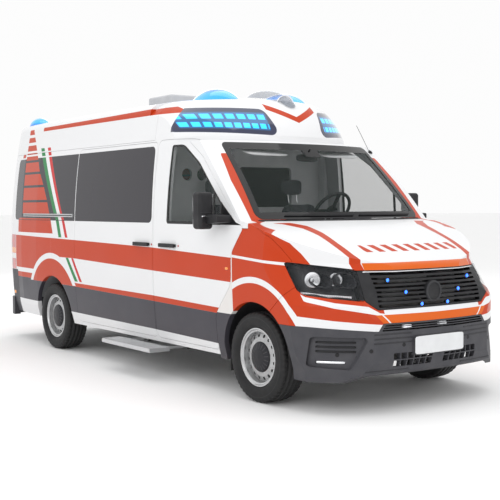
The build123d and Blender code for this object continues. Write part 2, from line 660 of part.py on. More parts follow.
def knuckle(side):
    """Upright, brake disc and hub that turn about the kingpin."""
    low, high = sorted((side * 700, side * 885))
    shape = cylinder_y(FRONT_AXLE_X, TYRE_RADIUS, 45, low, high)
    low, high = sorted((side * 728, side * 748))
    shape += cylinder_y(FRONT_AXLE_X, TYRE_RADIUS, 140, low, high)
    low, high = sorted((side * 700, side * 727))
    shape += box(FRONT_AXLE_X - 45, FRONT_AXLE_X + 45, low, high, 296, 640)
    kingpin = Pos(FRONT_AXLE_X, side * KINGPIN_Y, TYRE_RADIUS) * Cylinder(24, 170)
    return shape + kingpin


WHEELS = [
    {"name": "front_right", "x": FRONT_AXLE_X, "side": -1},
    {"name": "front_left", "x": FRONT_AXLE_X, "side": 1},
    {"name": "rear_right", "x": REAR_AXLE_X, "side": -1},
    {"name": "rear_left", "x": REAR_AXLE_X, "side": 1},
]


def running_gear():
    """Wheels, axles, frame and power unit."""
    for wheel in WHEELS:
        save("tyre_" + wheel["name"], tyre(wheel["x"], wheel["side"] * HALF_TRACK))
        save("rim_" + wheel["name"], rim(wheel["x"], wheel["side"]))
    save("knuckle_right", knuckle(-1))
    save("knuckle_left", knuckle(1))
    save("underbody", underbody())
    save("chassis_frame", chassis_frame())
    save("front_axle", front_axle())
    save("rear_axle", rear_axle())
    save("fuel_tank", tanks())
    save("exhaust", exhaust())
    save("engine", engine())
    liners = both(cylinder_y(FRONT_AXLE_X, TYRE_RADIUS, LINER_RADIUS + LINER_SKIN, -970, -600)
                  - cylinder_y(FRONT_AXLE_X, TYRE_RADIUS, LINER_RADIUS, -1000, -500))
    liners = liners & CAVITY & box(1500, 2600, -1100, 1100, 330, 900)
    liners += both(box(1560, 1570, -905, -745, 180, 335))
    save("wheel_liners", main_solids(liners, 1e4))


# Cab fittings

STEERING_CENTRE = (1290, 400, 1464)
STEERING_TILT = 35
STEERING_RADIUS = 190
SEATS = [{"name": "driver", "y": 430}, {"name": "passenger", "y": -430}]


def steering_wheel():
    """Rim, three spokes and hub on a leaning column."""
    ring = Torus(STEERING_RADIUS, 15)
    hub = Cylinder(52, 30)
    spokes = Part()
    for angle in (0, 180, 270):
        spokes += Rot(0, 0, angle) * Pos(115, 0, -2) * Box(150, 34, 12)
    wheel = ring + hub + spokes
    return Pos(*STEERING_CENTRE) * Rot(0, STEERING_TILT - 90, 0) * wheel


def dashboard():
    """Dash across the cab with an instrument hood and the steering column shroud."""
    section = make_face([
        Polyline((1770, 1000), (1600, 1010), (1545, 1120), (1500, 1270)),
        ThreePointArc((1500, 1270), (1502, 1330), (1560, 1362)),
        Polyline((1560, 1362), (1900, 1372), (1770, 1000)),
    ])
    dash = prism_y(section, -845, 845) & CAVITY
    hood = prism_y(outline([(1500, 1300), (1480, 1400), (1640, 1405), (1700, 1330)], [15, 20, 40, 5]), 240, 560)
    column = (Pos(*STEERING_CENTRE) * Rot(0, STEERING_TILT - 90, 0) * Pos(0, 0, -150) * Cylinder(42, 210))
    return dash + hood + column


def seats():
    """Seat bases, cushions, backs and headrests."""
    pads = []
    bases = []
    for seat in SEATS:
        y = seat["y"]
        cushion = outline([(800, 905), (800, 1010), (1290, 1040), (1290, 935)], [20, 30, 45, 30])
        back = outline([(745, 1020), (640, 1560), (735, 1580), (860, 1030)], [25, 45, 45, 40])
        rest = outline([(625, 1600), (612, 1760), (690, 1772), (712, 1608)], [25, 30, 35, 30])
        pads.append(prism_y(cushion, y - 245, y + 245))
        pads.append(prism_y(back, y - 235, y + 235))
        pads.append(prism_y(rest, y - 130, y + 130))
        bases.append(box(830, 1240, y - 200, y + 200, FLOOR_Z + 1, 900))
    return Compound(children=[s for p in pads for s in p.solids()]), Compound(
        children=[s for b in bases for s in b.solids()])


def bulkhead():
    """Partition behind the seats with a window and vent holes, and the door pillars."""
    wall = box(468, 500, -1100, 1100, FLOOR_Z + 1, 2520)
    wall -= prism_x(outline([(-60, 1500), (-60, 1880), (560, 1880), (560, 1500)], 40), 400, 600)
    for y in (-640, -480, -320):
        wall -= cylinder_x(y, 1800, 55, 400, 600)
    pillar = both(box(440, 590, -1100, -905, FLOOR_Z + 1, 2060))
    wall = (wall + pillar) & master_body(SKIN + 6, 100)
    return wall


def cab():
    """Everything that shows through the windscreen and the door glass."""
    save("steering_wheel", steering_wheel())
    save("dashboard", dashboard())
    pads, bases = seats()
    save("seat_pads", pads)
    save("seat_bases", bases)
    save("bulkhead", bulkhead())


# Roof fittings, mirrors, step, bumper and small trim

def spindle(x0, x1, y, z, radius):
    """Long streamlined dome: an arc turned about its own length."""
    middle = (x0 + x1) / 2
    face = make_face([
        ThreePointArc((x0, 0), (middle, radius), (x1, 0)),
        Line((x1, 0), (x0, 0)),
    ])
    return Pos(0, y, z) * Rot(40, 0, 0) * revolve(Plane.XZ * face, axis=Axis.X)


def roof_fittings():
    """Blue beacons, searchlight and vent box."""
    cover = OUTER & box(-3000, 1400, -1100, 1100, 2100, 2700)
    front = spindle(150, 960, -380, 2430, 148)
    rear = spindle(-2800, -2380, -690, 2420, 110)
    save("roof_beacons", main_solids(both(front + rear) - cover, 1e5))
    roof_line = make_face(Polyline((500, 2200), (500, 2530), (1000, 2469), (1150, 2434), (1245, 2362), (1300, 2200),
                                   close=True))
    dome = Pos(900, 0, 2420) * Rot(0, 11, 0) * scale(Sphere(1), by=(335, 150, 130))
    dome -= prism_y(roof_line, -200, 200)
    save("searchlight", main_solids(dome, 1e5))
    vent = fillet(box(-960, -500, -200, 200, 2450, 2645).edges(), 25)
    save("roof_vent", main_solids(vent - cover, 1e5))


def side_trim():
    """Door handles, sliding rail and sill strips that belong to the fixed body or a door."""
    rail = prism_x(outline([(-1030, 1405), (-1030, 1437), (-990, 1437), (-990, 1405)], 4), -2325, -1075)
    rail -= OUTER
    save("door_rail", main_solids(rail, 1e4))
    save("sliding_door_handle", door_handle(206, 472))


def door_handle(x0, x1):
    """Pull handle on the right, standing off the door on two feet."""
    grip = fillet(box(x0, x1, -1052, -1036, 1158, 1192).edges(), 6)
    for x in (x0 + 18, x1 - 18):
        grip += box(x - 14, x + 14, -1040, -1010, 1162, 1188)
    return main_solids(grip - OUTER, 1e4)


def door_trim():
    """Mirror on a short arm, and pull handle, of each front door."""
    head = fillet(box(1470, 1590, -1212, -1082, 1330, 1625).edges(), 28)
    arm = prism_y(outline([(1560, 1372), (1560, 1450), (1740, 1440), (1740, 1385)], 12), -1150, -985)
    mirror_right = main_solids((head + arm) - OUTER, 1e5)
    trim = Compound(children=[*mirror_right.solids(), *door_handle(661, 919).solids()])
    save("door_trim_right", trim)
    save("door_trim_left", other_side(trim))


def side_step():
    """Tread that slides out from below the sliding door, on two arms."""
    step = fillet(box(-118, 763, -1202, -1000, 252, 290).edges().filter_by(Axis.X), 8)
    for x in STEP_ARM_X:
        step += box(x - 25, x + 25, -1000, -520, 258, 284)
    return step


def step_guides():
    """Two sleeves that carry the step's arms, hung from the frame."""
    guides = Part()
    for x in STEP_ARM_X:
        guides += box(x - 45, x + 45, -780, -481, 296, 331)
        for dx in (-45, 33):
            guides += box(x + dx, x + dx + 12, -780, -481, 245, 331)
    return guides


def rear_bumper():
    """Wrap-round rear bumper with a tread on top and raised corners below the tail lights."""
    plan = outline([(TAIL_X, -918), (-2800, -945), (-2800, 945), (TAIL_X, 918)], [130, 5, 5, 130])
    inner = outline([(TAIL_X + 60, -860), (-2700, -885), (-2700, 885), (TAIL_X + 60, 860)], [80, 5, 5, 80])
    bumper = prism_z(plan, 262, 478) - prism_z(inner, 200, 455) - box(-2840, -2790, -880, 880, 400, 500)
    # The tread ends at the raised corners, a little above the ledge that they stand on.
    bumper -= both(box(-3050, -2600, -1100, -868, 466, 500))
    corners = (SHELL & both(box(-3050, -2615, -1100, -868, SILL_Z, 795))) - REAR_DOOR_HOLE
    return main_solids(bumper + corners, 1e5)


WIPER_REACH = 3012


def wipers():
    """Two blades parked along the windscreen's foot, with their arms."""
    blades = []
    reach = WIPER_REACH
    for y0, y1 in ((-640, 20), (90, 740)):
        start = math.degrees(math.asin(y0 / reach))
        sweep_angle = math.degrees(math.asin(y1 / reach)) - start
        section = Plane.XZ * Pos(reach, 1437) * Rectangle(10, 12)
        blade = revolve(section, axis=Axis((0, 0, 0), (0, 0, 1)), revolution_arc=sweep_angle)
        blades.append(Pos(NOSE_TURN_X, 0, 0) * Rot(0, 0, start) * blade)
    return Compound(children=[s for b in blades for s in b.solids()])


os.makedirs("parts", exist_ok=True)
body_pieces()
nose_pieces()
running_gear()
cab()
roof_fittings()
side_trim()
door_trim()
save("side_step", side_step())
save("rear_bumper", rear_bumper())
save("wipers", wipers())
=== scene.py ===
import logging
import math
from dataclasses import dataclass
from enum import Enum
from typing import Sequence

import bpy
import numpy as np
from mathutils import Matrix, Vector


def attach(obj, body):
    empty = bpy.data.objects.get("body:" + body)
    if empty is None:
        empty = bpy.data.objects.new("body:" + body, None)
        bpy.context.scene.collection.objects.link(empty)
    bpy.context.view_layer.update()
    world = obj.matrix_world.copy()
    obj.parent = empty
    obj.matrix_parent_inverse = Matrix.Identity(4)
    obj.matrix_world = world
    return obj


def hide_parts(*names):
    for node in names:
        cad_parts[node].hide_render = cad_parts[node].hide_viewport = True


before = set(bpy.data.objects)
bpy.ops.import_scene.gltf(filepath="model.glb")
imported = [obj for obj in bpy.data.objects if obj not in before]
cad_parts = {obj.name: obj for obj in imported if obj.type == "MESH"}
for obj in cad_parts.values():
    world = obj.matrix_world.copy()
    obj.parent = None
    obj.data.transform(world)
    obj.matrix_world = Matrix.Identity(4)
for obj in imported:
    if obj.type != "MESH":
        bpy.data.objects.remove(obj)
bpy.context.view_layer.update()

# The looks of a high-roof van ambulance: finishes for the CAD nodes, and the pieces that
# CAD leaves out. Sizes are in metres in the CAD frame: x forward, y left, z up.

log = logging.getLogger("ambulance")

Colour = tuple[float, float, float]
Pair = tuple[float, float]
Point = tuple[float, float, float]

WHITE: Colour = (0.76, 0.765, 0.775)
SIDE_ORANGE: Colour = (0.50, 0.040, 0.003)
FRONT_ORANGE: Colour = (0.66, 0.110, 0.003)
SILL_GREY: Colour = (0.045, 0.043, 0.055)
FLAG_GREEN: Colour = (0.008, 0.20, 0.05)
FLAG_RED: Colour = (0.55, 0.012, 0.012)
GLASS_FILM: Colour = (0.030, 0.028, 0.034)
KEYLINE: Colour = (0.72, 0.70, 0.68)


# ---------------------------------------------------------------- node trees


class Field:
    """A number or colour that varies over a surface: one output of a material's nodes."""

    def __init__(self, graph: "Graph", socket: bpy.types.NodeSocket) -> None:
        """Keeps the tree and the output socket.

        Args:
            graph: the node tree that the value belongs to.
            socket: the output that carries the value.
        """
        self.graph = graph
        self.socket = socket

    def op(self, kind: str, *others: "Field | float", clamp: bool = False) -> "Field":
        """Adds one Math node after this value.

        Args:
            kind: the Math node's operation.
            others: the second and third inputs.
            clamp: whether the result is held between 0 and 1.

        Returns:
            The node's result.
        """
        node = self.graph.node("ShaderNodeMath")
        node.operation = kind
        node.use_clamp = clamp
        for slot, value in zip(node.inputs, (self, *others)):
            self.graph.join(value, slot)
        return Field(self.graph, node.outputs[0])

    def __add__(self, other: "Field | float") -> "Field":
        """Sum."""
        return self.op("ADD", other)

    __radd__ = __add__

    def __sub__(self, other: "Field | float") -> "Field":
        """Difference."""
        return self.op("SUBTRACT", other)

    def __mul__(self, other: "Field | float") -> "Field":
        """Product; of two masks, where both hold."""
        return self.op("MULTIPLY", other)

    __rmul__ = __mul__

    def size(self) -> "Field":
        """Absolute value."""
        return self.op("ABSOLUTE")

    def either(self, other: "Field | float") -> "Field":
        """Larger of two values; of two masks, where one or the other holds."""
        return self.op("MAXIMUM", other)

    def flip(self) -> "Field":
        """One minus this mask."""
        return self.op("MULTIPLY_ADD", -1.0, 1.0)

    def above(self, edge: "Field | float", soft: float = 0.0012) -> "Field":
        """Mask that is 1 above an edge and 0 below it.

        Args:
            edge: where the mask changes.
            soft: width of the change, in the value's own unit.

        Returns:
            The mask.
        """
        return (self - edge).op("MULTIPLY_ADD", 1.0 / soft, 0.5, clamp=True)

    def below(self, edge: "Field | float", soft: float = 0.0012) -> "Field":
        """Mask that is 1 below an edge."""
        return (self - edge).op("MULTIPLY_ADD", -1.0 / soft, 0.5, clamp=True)

    def within(self, low: "Field | float", high: "Field | float", soft: float = 0.0012) -> "Field":
        """Mask that is 1 between two edges."""
        return self.above(low, soft) * self.below(high, soft)

    def curve(self, points: Sequence[Pair]) -> "Field":
        """A value read off a broken line, by one Float Curve node with straight handles.

        Args:
            points: (input, output) pairs with rising inputs.

        Returns:
            The output, held level beyond the ends.
        """
        xs = np.array([p[0] for p in points])
        ys = np.array([p[1] for p in points])
        low, high = float(ys.min()) - 1e-4, float(ys.max()) + 1e-4
        start, span = float(xs[0]), float(xs[-1] - xs[0])
        unit = (self - start).op("MULTIPLY", 1.0 / span, clamp=True)
        node = self.graph.node("ShaderNodeFloatCurve")
        line = node.mapping.curves[0]
        places = list(zip((xs - start) / span, (ys - low) / (high - low)))
        for place in places[1:-1]:
            line.points.new(float(place[0]), float(place[1]))
        for point, place in zip(line.points, places):
            point.location = (float(place[0]), float(place[1]))
            point.handle_type = "VECTOR"
        node.mapping.update()
        self.graph.join(unit, node.inputs["Value"])
        return Field(self.graph, node.outputs[0]).op("MULTIPLY_ADD", high - low, low)


class Graph:
    """The node tree of one material, with its shader and the places it reads."""

    def __init__(self, name: str) -> None:
        """Makes the material.

        Args:
            name: the material's name.
        """
        self.material = bpy.data.materials.new(name)
        self.material.use_nodes = True
        self.tree = self.material.node_tree
        self.shader = self.tree.nodes["Principled BSDF"]
        self.coordinates = self.tree.nodes.new("ShaderNodeTexCoord")
        self.cache: dict[str, tuple[Field, Field, Field]] = {}

    def node(self, kind: str) -> bpy.types.Node:
        """Adds a node of a kind."""
        return self.tree.nodes.new(kind)

    def join(self, value: "Field | float | Sequence[float]", slot: bpy.types.NodeSocket) -> None:
        """Links a value to an input, or sets the input to a constant.

        Args:
            value: a Field, a number or a colour.
            slot: the input.
        """
        if isinstance(value, Field):
            self.tree.links.new(value.socket, slot)
        elif isinstance(value, (tuple, list)):
            slot.default_value = (*value, 1.0) if len(
                slot.default_value
            ) == 4 and len(value) == 3 else value
        else:
            slot.default_value = value

    def axes(self, source: str = "Object") -> tuple[Field, Field, Field]:
        """The three parts of a coordinate.

        Args:
            source: Object for the place, Normal for the way the surface faces.

        Returns:
            x, y and z.
        """
        if source not in self.cache:
            split = self.node("ShaderNodeSeparateXYZ")
            self.tree.links.new(self.coordinates.outputs[source], split.inputs[0])
            self.cache[source] = tuple(Field(self, out) for out in split.outputs)
        return self.cache[source]

    def noise(self, scale: float, detail: float = 2.0, stretch: Point = (1.0, 1.0, 1.0)) -> Field:
        """Soft noise on the object's own coordinates.

        Args:
            scale: patches per metre.
            detail: number of finer layers.
            stretch: how the pattern is scaled along x, y and z.

        Returns:
            The noise, about 0.5 on average.
        """
        mapping = self.node("ShaderNodeMapping")
        mapping.inputs["Scale"].default_value = stretch
        self.tree.links.new(self.coordinates.outputs["Object"], mapping.inputs["Vector"])
        node = self.node("ShaderNodeTexNoise")
        node.inputs["Scale"].default_value = scale
        node.inputs["Detail"].default_value = detail
        self.tree.links.new(mapping.outputs[0], node.inputs["Vector"])
        return Field(self, node.outputs[0])

    def mix(self, mask: "Field | float", under: "Field | Colour", over: "Field | Colour") -> Field:
        """Lays one colour over another where a mask holds.

        Args:
            mask: 0 shows the lower colour, 1 the upper one.
            under: the lower colour.
            over: the upper colour.

        Returns:
            The mixed colour.
        """
        node = self.node("ShaderNodeMix")
        node.data_type = "RGBA"
        self.join(mask, node.inputs[0])
        self.join(under, node.inputs[6])
        self.join(over, node.inputs[7])
        return Field(self, node.outputs[2])

    def stack(
        self, base: "Field | Colour", layers: Sequence[tuple[Field, "Field | Colour"]],
    ) -> Field:
        """Lays colours over a base one after another.

        Args:
            base: the lowest colour.
            layers: (mask, colour) pairs from the lowest to the highest.

        Returns:
            The finished colour.
        """
        result: Field | Colour = base
        for mask, colour in layers:
            result = self.mix(mask, result, colour)
        return result

    def set(self, **values: "Field | float | Sequence[float]") -> None:
        """Sets the shader's inputs; an underscore in a name stands for a space."""
        names = {socket.name.lower(): socket for socket in self.shader.inputs}
        for name, value in values.items():
            self.join(value, names[name.replace("_", " ")])

    def bump(self, height: Field, strength: float, distance: float) -> None:
        """Roughens the surface by a height, through one Bump node.

        Args:
            height: the height, 0 to 1.
            strength: how much of it shows.
            distance: height in metres.
        """
        node = self.node("ShaderNodeBump")
        node.inputs["Strength"].default_value = strength
        node.inputs["Distance"].default_value = distance
        self.join(height, node.inputs["Height"])
        self.tree.links.new(node.outputs[0], self.shader.inputs["Normal"])


# ------------------------------------------------------------------- finishes


class Zone(Enum):
    """The parts of the bodywork that the livery treats differently."""

    SIDE = "side"
    WING = "wing"
    NOSE = "nose"
    BONNET = "bonnet"
    REAR = "rear"
    ROOF = "roof"
    HOUSING = "housing"


@dataclass(frozen=True)
class Livery:
    """White paint with the orange bands, the grey sill and the three-colour stripe.

    Every edge is a line or a broken line in metres; y is taken without its sign, so
    the two sides match.
    """

    rear_arch: Pair = (-1.62, 0.35)
    front_arch: Pair = (2.02, 0.35)
    band_top: tuple[Pair, ...] = ((-2.49, 1.192), (-1.077, 1.174), (0.50, 1.149), (1.743, 1.107))
    band_low: tuple[Pair, ...] = ((-1.08, 0.987), (0.485, 0.945), (1.73, 0.914))
    thin_top: tuple[Pair, ...] = ((-1.175, 0.738), (0.495, 0.723), (1.548, 0.698))
    thin_low: tuple[Pair, ...] = ((-1.2, 0.702), (0.494, 0.673), (1.502, 0.653))
    grey_low: tuple[Pair, ...] = ((-1.24, 0.433), (0.49, 0.419), (1.545, 0.401))
    bars_edge: tuple[Pair, ...] = (
        (1.19, -1.555), (1.224, -1.568), (1.375, -1.631), (1.451, -1.673), (1.578, -1.740),
        (1.734, -1.848), (1.883, -1.975), (2.053, -2.079), (2.208, -2.193), (2.357, -2.302),
    )
    bars_gaps: tuple[Pair, ...] = (
        (1.21, 0.018), (1.40, 0.013), (1.572, 0.013), (1.735, 0.013), (1.882, 0.013),
        (2.014, 0.013), (2.081, 0.010), (2.118, 0.012), (2.210, 0.016), (2.298, 0.016),
    )
    green_left: tuple[Pair, ...] = (
        (
            0.753, -1.064,
        ), (0.984, -1.255), (1.194, -1.425), (1.376, -1.503), (1.468, -1.574), (2.15, -2.022),
    )
    green_right: tuple[Pair, ...] = (
        (
            0.752, -0.992,
        ), (0.985, -1.196), (1.194, -1.355), (1.377, -1.433), (1.468, -1.495), (2.15, -1.934),
    )
    red_left: tuple[Pair, ...] = (
        (
            0.752, -0.954,
        ), (0.984, -1.124), (1.198, -1.271), (1.378, -1.360), (1.468, -1.421), (2.15, -1.850),
    )
    red_right: tuple[Pair, ...] = (
        (
            0.755, -0.900,
        ), (0.985, -1.079), (1.199, -1.211), (1.378, -1.302), (1.468, -1.370), (2.15, -1.774),
    )

    def stripe(self, g: Graph) -> list[tuple[Field, Colour]]:
        """The three-colour stripe, two thin slanted ribbons with white between them.

        Args:
            g: the material's tree.

        Returns:
            Layers for Graph.stack.
        """
        x, _, z = g.axes()
        tall = z.within(1.192, 2.148).either(z.within(0.752, 0.986))
        gaps = z.within(2.100, 2.112).either(z.within(2.045, 2.060)).flip()
        left, right = z.curve(self.green_left), z.curve(self.green_right)
        low, high = z.curve(self.red_left), z.curve(self.red_right)
        return [
            (x.within(right, low) * tall, WHITE),
            (x.within(left, right) * tall * gaps, FLAG_GREEN),
            (x.within(low, high) * tall * gaps, FLAG_RED),
        ]

    def bars(self, g: Graph) -> tuple[Field, Field]:
        """The stacked orange bars on the rear quarter.

        Args:
            g: the material's tree.

        Returns:
            The mask of the bars, and the mask of the gaps between them.
        """
        x, _, z = g.axes()
        edge = z.curve(self.bars_edge)
        left = z.curve(((1.19, -2.57), (1.375, -2.567), (1.40, -2.42), (2.357, -2.42)))
        region = x.within(left, edge) * z.within(1.192, 2.37)
        gaps: Field | None = None
        for place, half in self.bars_gaps:
            gap = (z - place).size().below(half)
            gaps = gap if gaps is None else gaps.either(gap)
        return region * gaps.flip(), region * gaps

    def ring(self, g: Graph, centre: Pair, radius: float) -> Field:
        """Mask of a disc about a wheel centre, seen from the side."""
        x, _, z = g.axes()
        return (
            (x - centre[0]).op("POWER", 2.0) + (z - centre[1]).op("POWER", 2.0)
        ).op("SQRT").below(radius)

    def side(self, g: Graph) -> list[tuple[Field, Colour]]:
        """Layers of the side panels and doors.

        Args:
            g: the material's tree.

        Returns:
            Layers for Graph.stack.
        """
        x, y, z = g.axes()
        across = y.size()
        rear, front = x.below(self.rear_arch[0]), x.above(self.front_arch[0] - 0.29)
        low = x.curve(self.band_low)
        band = z.below(x.curve(self.band_top)) * (
            z.above(low) * rear.flip()
        ).either(z.above(0.829) * rear)
        band = band * x.above(-2.66) * x.below(1.748)
        thin = (
            z.within(x.curve(self.thin_low), x.curve(self.thin_top)) * rear.flip()
        ).either(z.within(0.724, 0.780) * rear)
        grey = (
            z.within(x.curve(self.grey_low), x.curve(self.thin_low)) * rear.flip()
        ).either(z.within(0.476, 0.724) * rear)
        near = z.above(0.30) * self.ring(g, self.rear_arch, 0.672)
        disc = z.above(0.30) * self.ring(g, self.rear_arch, 0.613) * z.above(0.705)
        bars, gaps = self.bars(g)
        column = x.within(-2.56, -2.452) * z.within(1.21, 2.14) * (
            z.op("MULTIPLY", 1 / 0.17).op("FRACT").above(0.12, 0.01)
        )
        pillar = z.curve(((1.40, 0.929), (1.721, 0.913), (1.95, 0.86)))
        sail = x.curve(((1.588, 1.548), (1.62, 1.520), (1.80, 1.385), (1.868, 1.366)))
        pillar_foot = z.curve(((1.35, 1.80), (1.41, 1.83), (1.721, 1.555), (1.95, 1.36)))
        return [
            (band, SIDE_ORANGE),
            (thin, SIDE_ORANGE),
            (grey, SILL_GREY),
            (near * z.above(0.705), WHITE),
            (disc, SIDE_ORANGE),
            (column, SIDE_ORANGE),
            (gaps, WHITE),
            (bars, SIDE_ORANGE),
            *self.stripe(g),
            (
                z.within(1.364, sail) * x.within(1.588, 1.868) * across.above(0.88),
                (0.008, 0.008, 0.009),
            ),
            (
                x.above(pillar_foot)
                * across.below(pillar)
                * z.within(1.36, 1.948)
                * front.flip().either(z.above(1.3)),
                SIDE_ORANGE,
            ),
        ]

    def wing(self, g: Graph) -> list[tuple[Field, Colour]]:
        """Layers of the front wings: orange with one white stripe and the arch rings.

        Args:
            g: the material's tree.

        Returns:
            Layers for Graph.stack.
        """
        x, _, z = g.axes()
        stripe = z.within(
            x.curve(((1.74, 1.112), (2.354, 1.072), (2.42, 1.066))),
            x.curve(((1.74, 1.132), (2.354, 1.093), (2.42, 1.088))),
        )
        return [
            (z.above(0.60), SIDE_ORANGE),
            (stripe, WHITE),
            (self.ring(g, self.front_arch, 0.622) * z.above(0.30), WHITE),
            (self.ring(g, self.front_arch, 0.575) * z.above(0.30), SIDE_ORANGE),
            (x.below(1.752) * z.below(1.16), KEYLINE),
            (x.below(1.78) * z.below(0.66), SILL_GREY),
        ]

    def nose(self, g: Graph) -> list[tuple[Field, Colour]]:
        """Layers of the painted panel below the lamps and the grille.

        Args:
            g: the material's tree.

        Returns:
            Layers for Graph.stack.
        """
        _, y, z = g.axes()
        across = y.size()
        top = across.curve(
            ((0.0, 0.721), (0.563, 0.725), (0.836, 0.778), (0.945, 0.816), (1.0, 0.86))
        )
        low = across.curve(
            ((0.0, 0.655), (0.539, 0.656), (0.836, 0.687), (0.991, 0.712), (1.02, 0.72))
        )
        line = across.curve(
            (
                (0.5, 0.748), (0.538, 0.754), (0.624, 0.803), (0.822, 0.831), (0.941, 0.868),
                (0.99, 0.93),
            )
        )
        centre = across.below(z - 0.144)
        cut = z - 0.205 - across
        break_line = cut.size().below(0.0075) * z.within(low, top)
        side = across.above(0.955) * z.above(low)
        return [
            (z.within(low, top), SIDE_ORANGE),
            (z.within(low, top) * centre, FRONT_ORANGE),
            (break_line, WHITE),
            (z.above(line - 0.016) * across.above(0.5), SIDE_ORANGE),
            (side, SIDE_ORANGE),
            (self.ring(g, self.front_arch, 0.622) * across.above(0.8), WHITE),
            (self.ring(g, self.front_arch, 0.575) * across.above(0.8), SIDE_ORANGE),
        ]

    def bonnet(self, g: Graph) -> list[tuple[Field, Colour]]:
        """Layers of the bonnet: side band, curved stripe, front band and a dashed row.

        Args:
            g: the material's tree.

        Returns:
            Layers for Graph.stack.
        """
        x, y, z = g.axes()
        across = y.size()
        shoulder = x.curve(
            (
                (1.86, 1.412), (1.916, 1.398), (2.181, 1.33), (2.382, 1.238), (2.458, 1.161),
                (2.512, 1.085), (2.56, 1.02),
            )
        )
        outer_line = x.curve(
            (
                (2.00, 0.70), (2.024, 0.826), (2.068, 0.766), (2.216, 0.677), (2.369, 0.652),
                (2.545, 0.652), (2.69, 0.645), (2.80, 0.622),
            )
        )
        inner_line = x.curve(
            (
                (2.02, 0.83), (2.049, 0.676), (2.164, 0.597), (2.328, 0.58), (2.516, 0.589),
                (2.679, 0.580), (2.80, 0.556),
            )
        )
        slant = (y + (z - 1.19) * 0.9).op("MULTIPLY", 1 / 0.118).op("FRACT")
        dashes = slant.within(
            0.10, 0.62, 0.012,
        ) * (y - 0.05).size().below(0.50) * z.within(1.166, 1.214)
        return [
            (z.within(1.041, 1.092) * across.below(0.560), FRONT_ORANGE),
            (across.within(inner_line, outer_line) * x.above(2.026), SIDE_ORANGE),
            (z.below(shoulder) * across.above(0.80), SIDE_ORANGE),
            (dashes, SIDE_ORANGE),
        ]

    def rear(self, g: Graph) -> list[tuple[Field, Colour]]:
        """Layers of the rear doors: the side band carried round and a chevron field.

        Args:
            g: the material's tree.

        Returns:
            Layers for Graph.stack.
        """
        _, y, z = g.axes()
        chevron = (y.size() + z).op("MULTIPLY", 1 / 0.26).op("FRACT").within(0.0, 0.5, 0.008)
        return [
            (z.within(0.829, 1.192), SIDE_ORANGE),
            (z.within(0.724, 0.780), SIDE_ORANGE),
            (z.within(0.52, 0.724) * chevron, SIDE_ORANGE),
            (z.within(2.08, 2.12), SIDE_ORANGE),
        ]

    def roof(self, g: Graph) -> list[tuple[Field, Colour]]:
        """Layers of the roof: one stripe along each shoulder and the rear bars' tops.

        Args:
            g: the material's tree.

        Returns:
            Layers for Graph.stack.
        """
        x, _, z = g.axes()
        low = x.curve(((-1.93, 2.333), (-0.7, 2.334), (0.60, 2.331)))
        high = x.curve(((-1.93, 2.374), (-0.7, 2.382), (0.60, 2.394)))
        bars, gaps = self.bars(g)
        return [
            (z.within(low, high) * x.within(-2.02, 0.86), SIDE_ORANGE),
            (gaps, WHITE),
            (bars, SIDE_ORANGE),
            *self.stripe(g),
        ]

    def housing(self, g: Graph) -> list[tuple[Field, Colour]]:
        """Layers of the roof light housing: the orange V below the searchlight.

        Args:
            g: the material's tree.

        Returns:
            Layers for Graph.stack.
        """
        x, y, z = g.axes()
        depth = y.size() * 0.42 + 2.235
        return [
            (z.within(depth, depth + 0.055) * x.above(0.75) * y.size().below(0.27), SIDE_ORANGE),
            (z.within(2.331, 2.394) * y.size().above(0.80) * x.below(0.86), SIDE_ORANGE),
        ]

    def dress(self, zone: Zone) -> bpy.types.Material:
        """Makes the paint of one part of the bodywork.

        Args:
            zone: which part's edges are drawn.

        Returns:
            The material: clear-coated paint, faint tone changes, light orange peel,
            road dust low down and grey undercoat on faces that look inwards.
        """
        g = Graph("paint_" + zone.value)
        _, y, z = g.axes()
        nx, ny, nz = g.axes("Normal")
        layers = getattr(self, zone.value)(g)
        colour = g.stack(WHITE, layers)
        inward = (y.op("SIGN") * ny).below(-0.35, 0.1) * y.size().above(0.7) * nz.size().below(0.8)
        if zone is Zone.ROOF:
            inward = nz.below(-0.4, 0.1)
        if zone is Zone.REAR:
            inward = nx.above(0.4, 0.1)
        colour = g.mix(inward, colour, (0.42, 0.43, 0.44))
        tone = g.noise(2.2, 3.0).op("MULTIPLY_ADD", 0.06, -0.02)
        colour = g.mix(tone, colour, (0.40, 0.40, 0.42))
        dust = g.noise(6.0, 5.0, (1.0, 1.0, 2.5)) * z.below(0.42, 0.5)
        colour = g.mix(dust * 0.16, colour, (0.30, 0.27, 0.23))
        g.set(base_color=colour, roughness=g.noise(5.0, 3.0).op("MULTIPLY_ADD", 0.16, 0.24))
        g.set(coat_weight=0.16, coat_roughness=0.04, specular_ior_level=0.15)
        g.bump(g.noise(420.0, 1.0), 0.03, 0.0006)
        return g.material


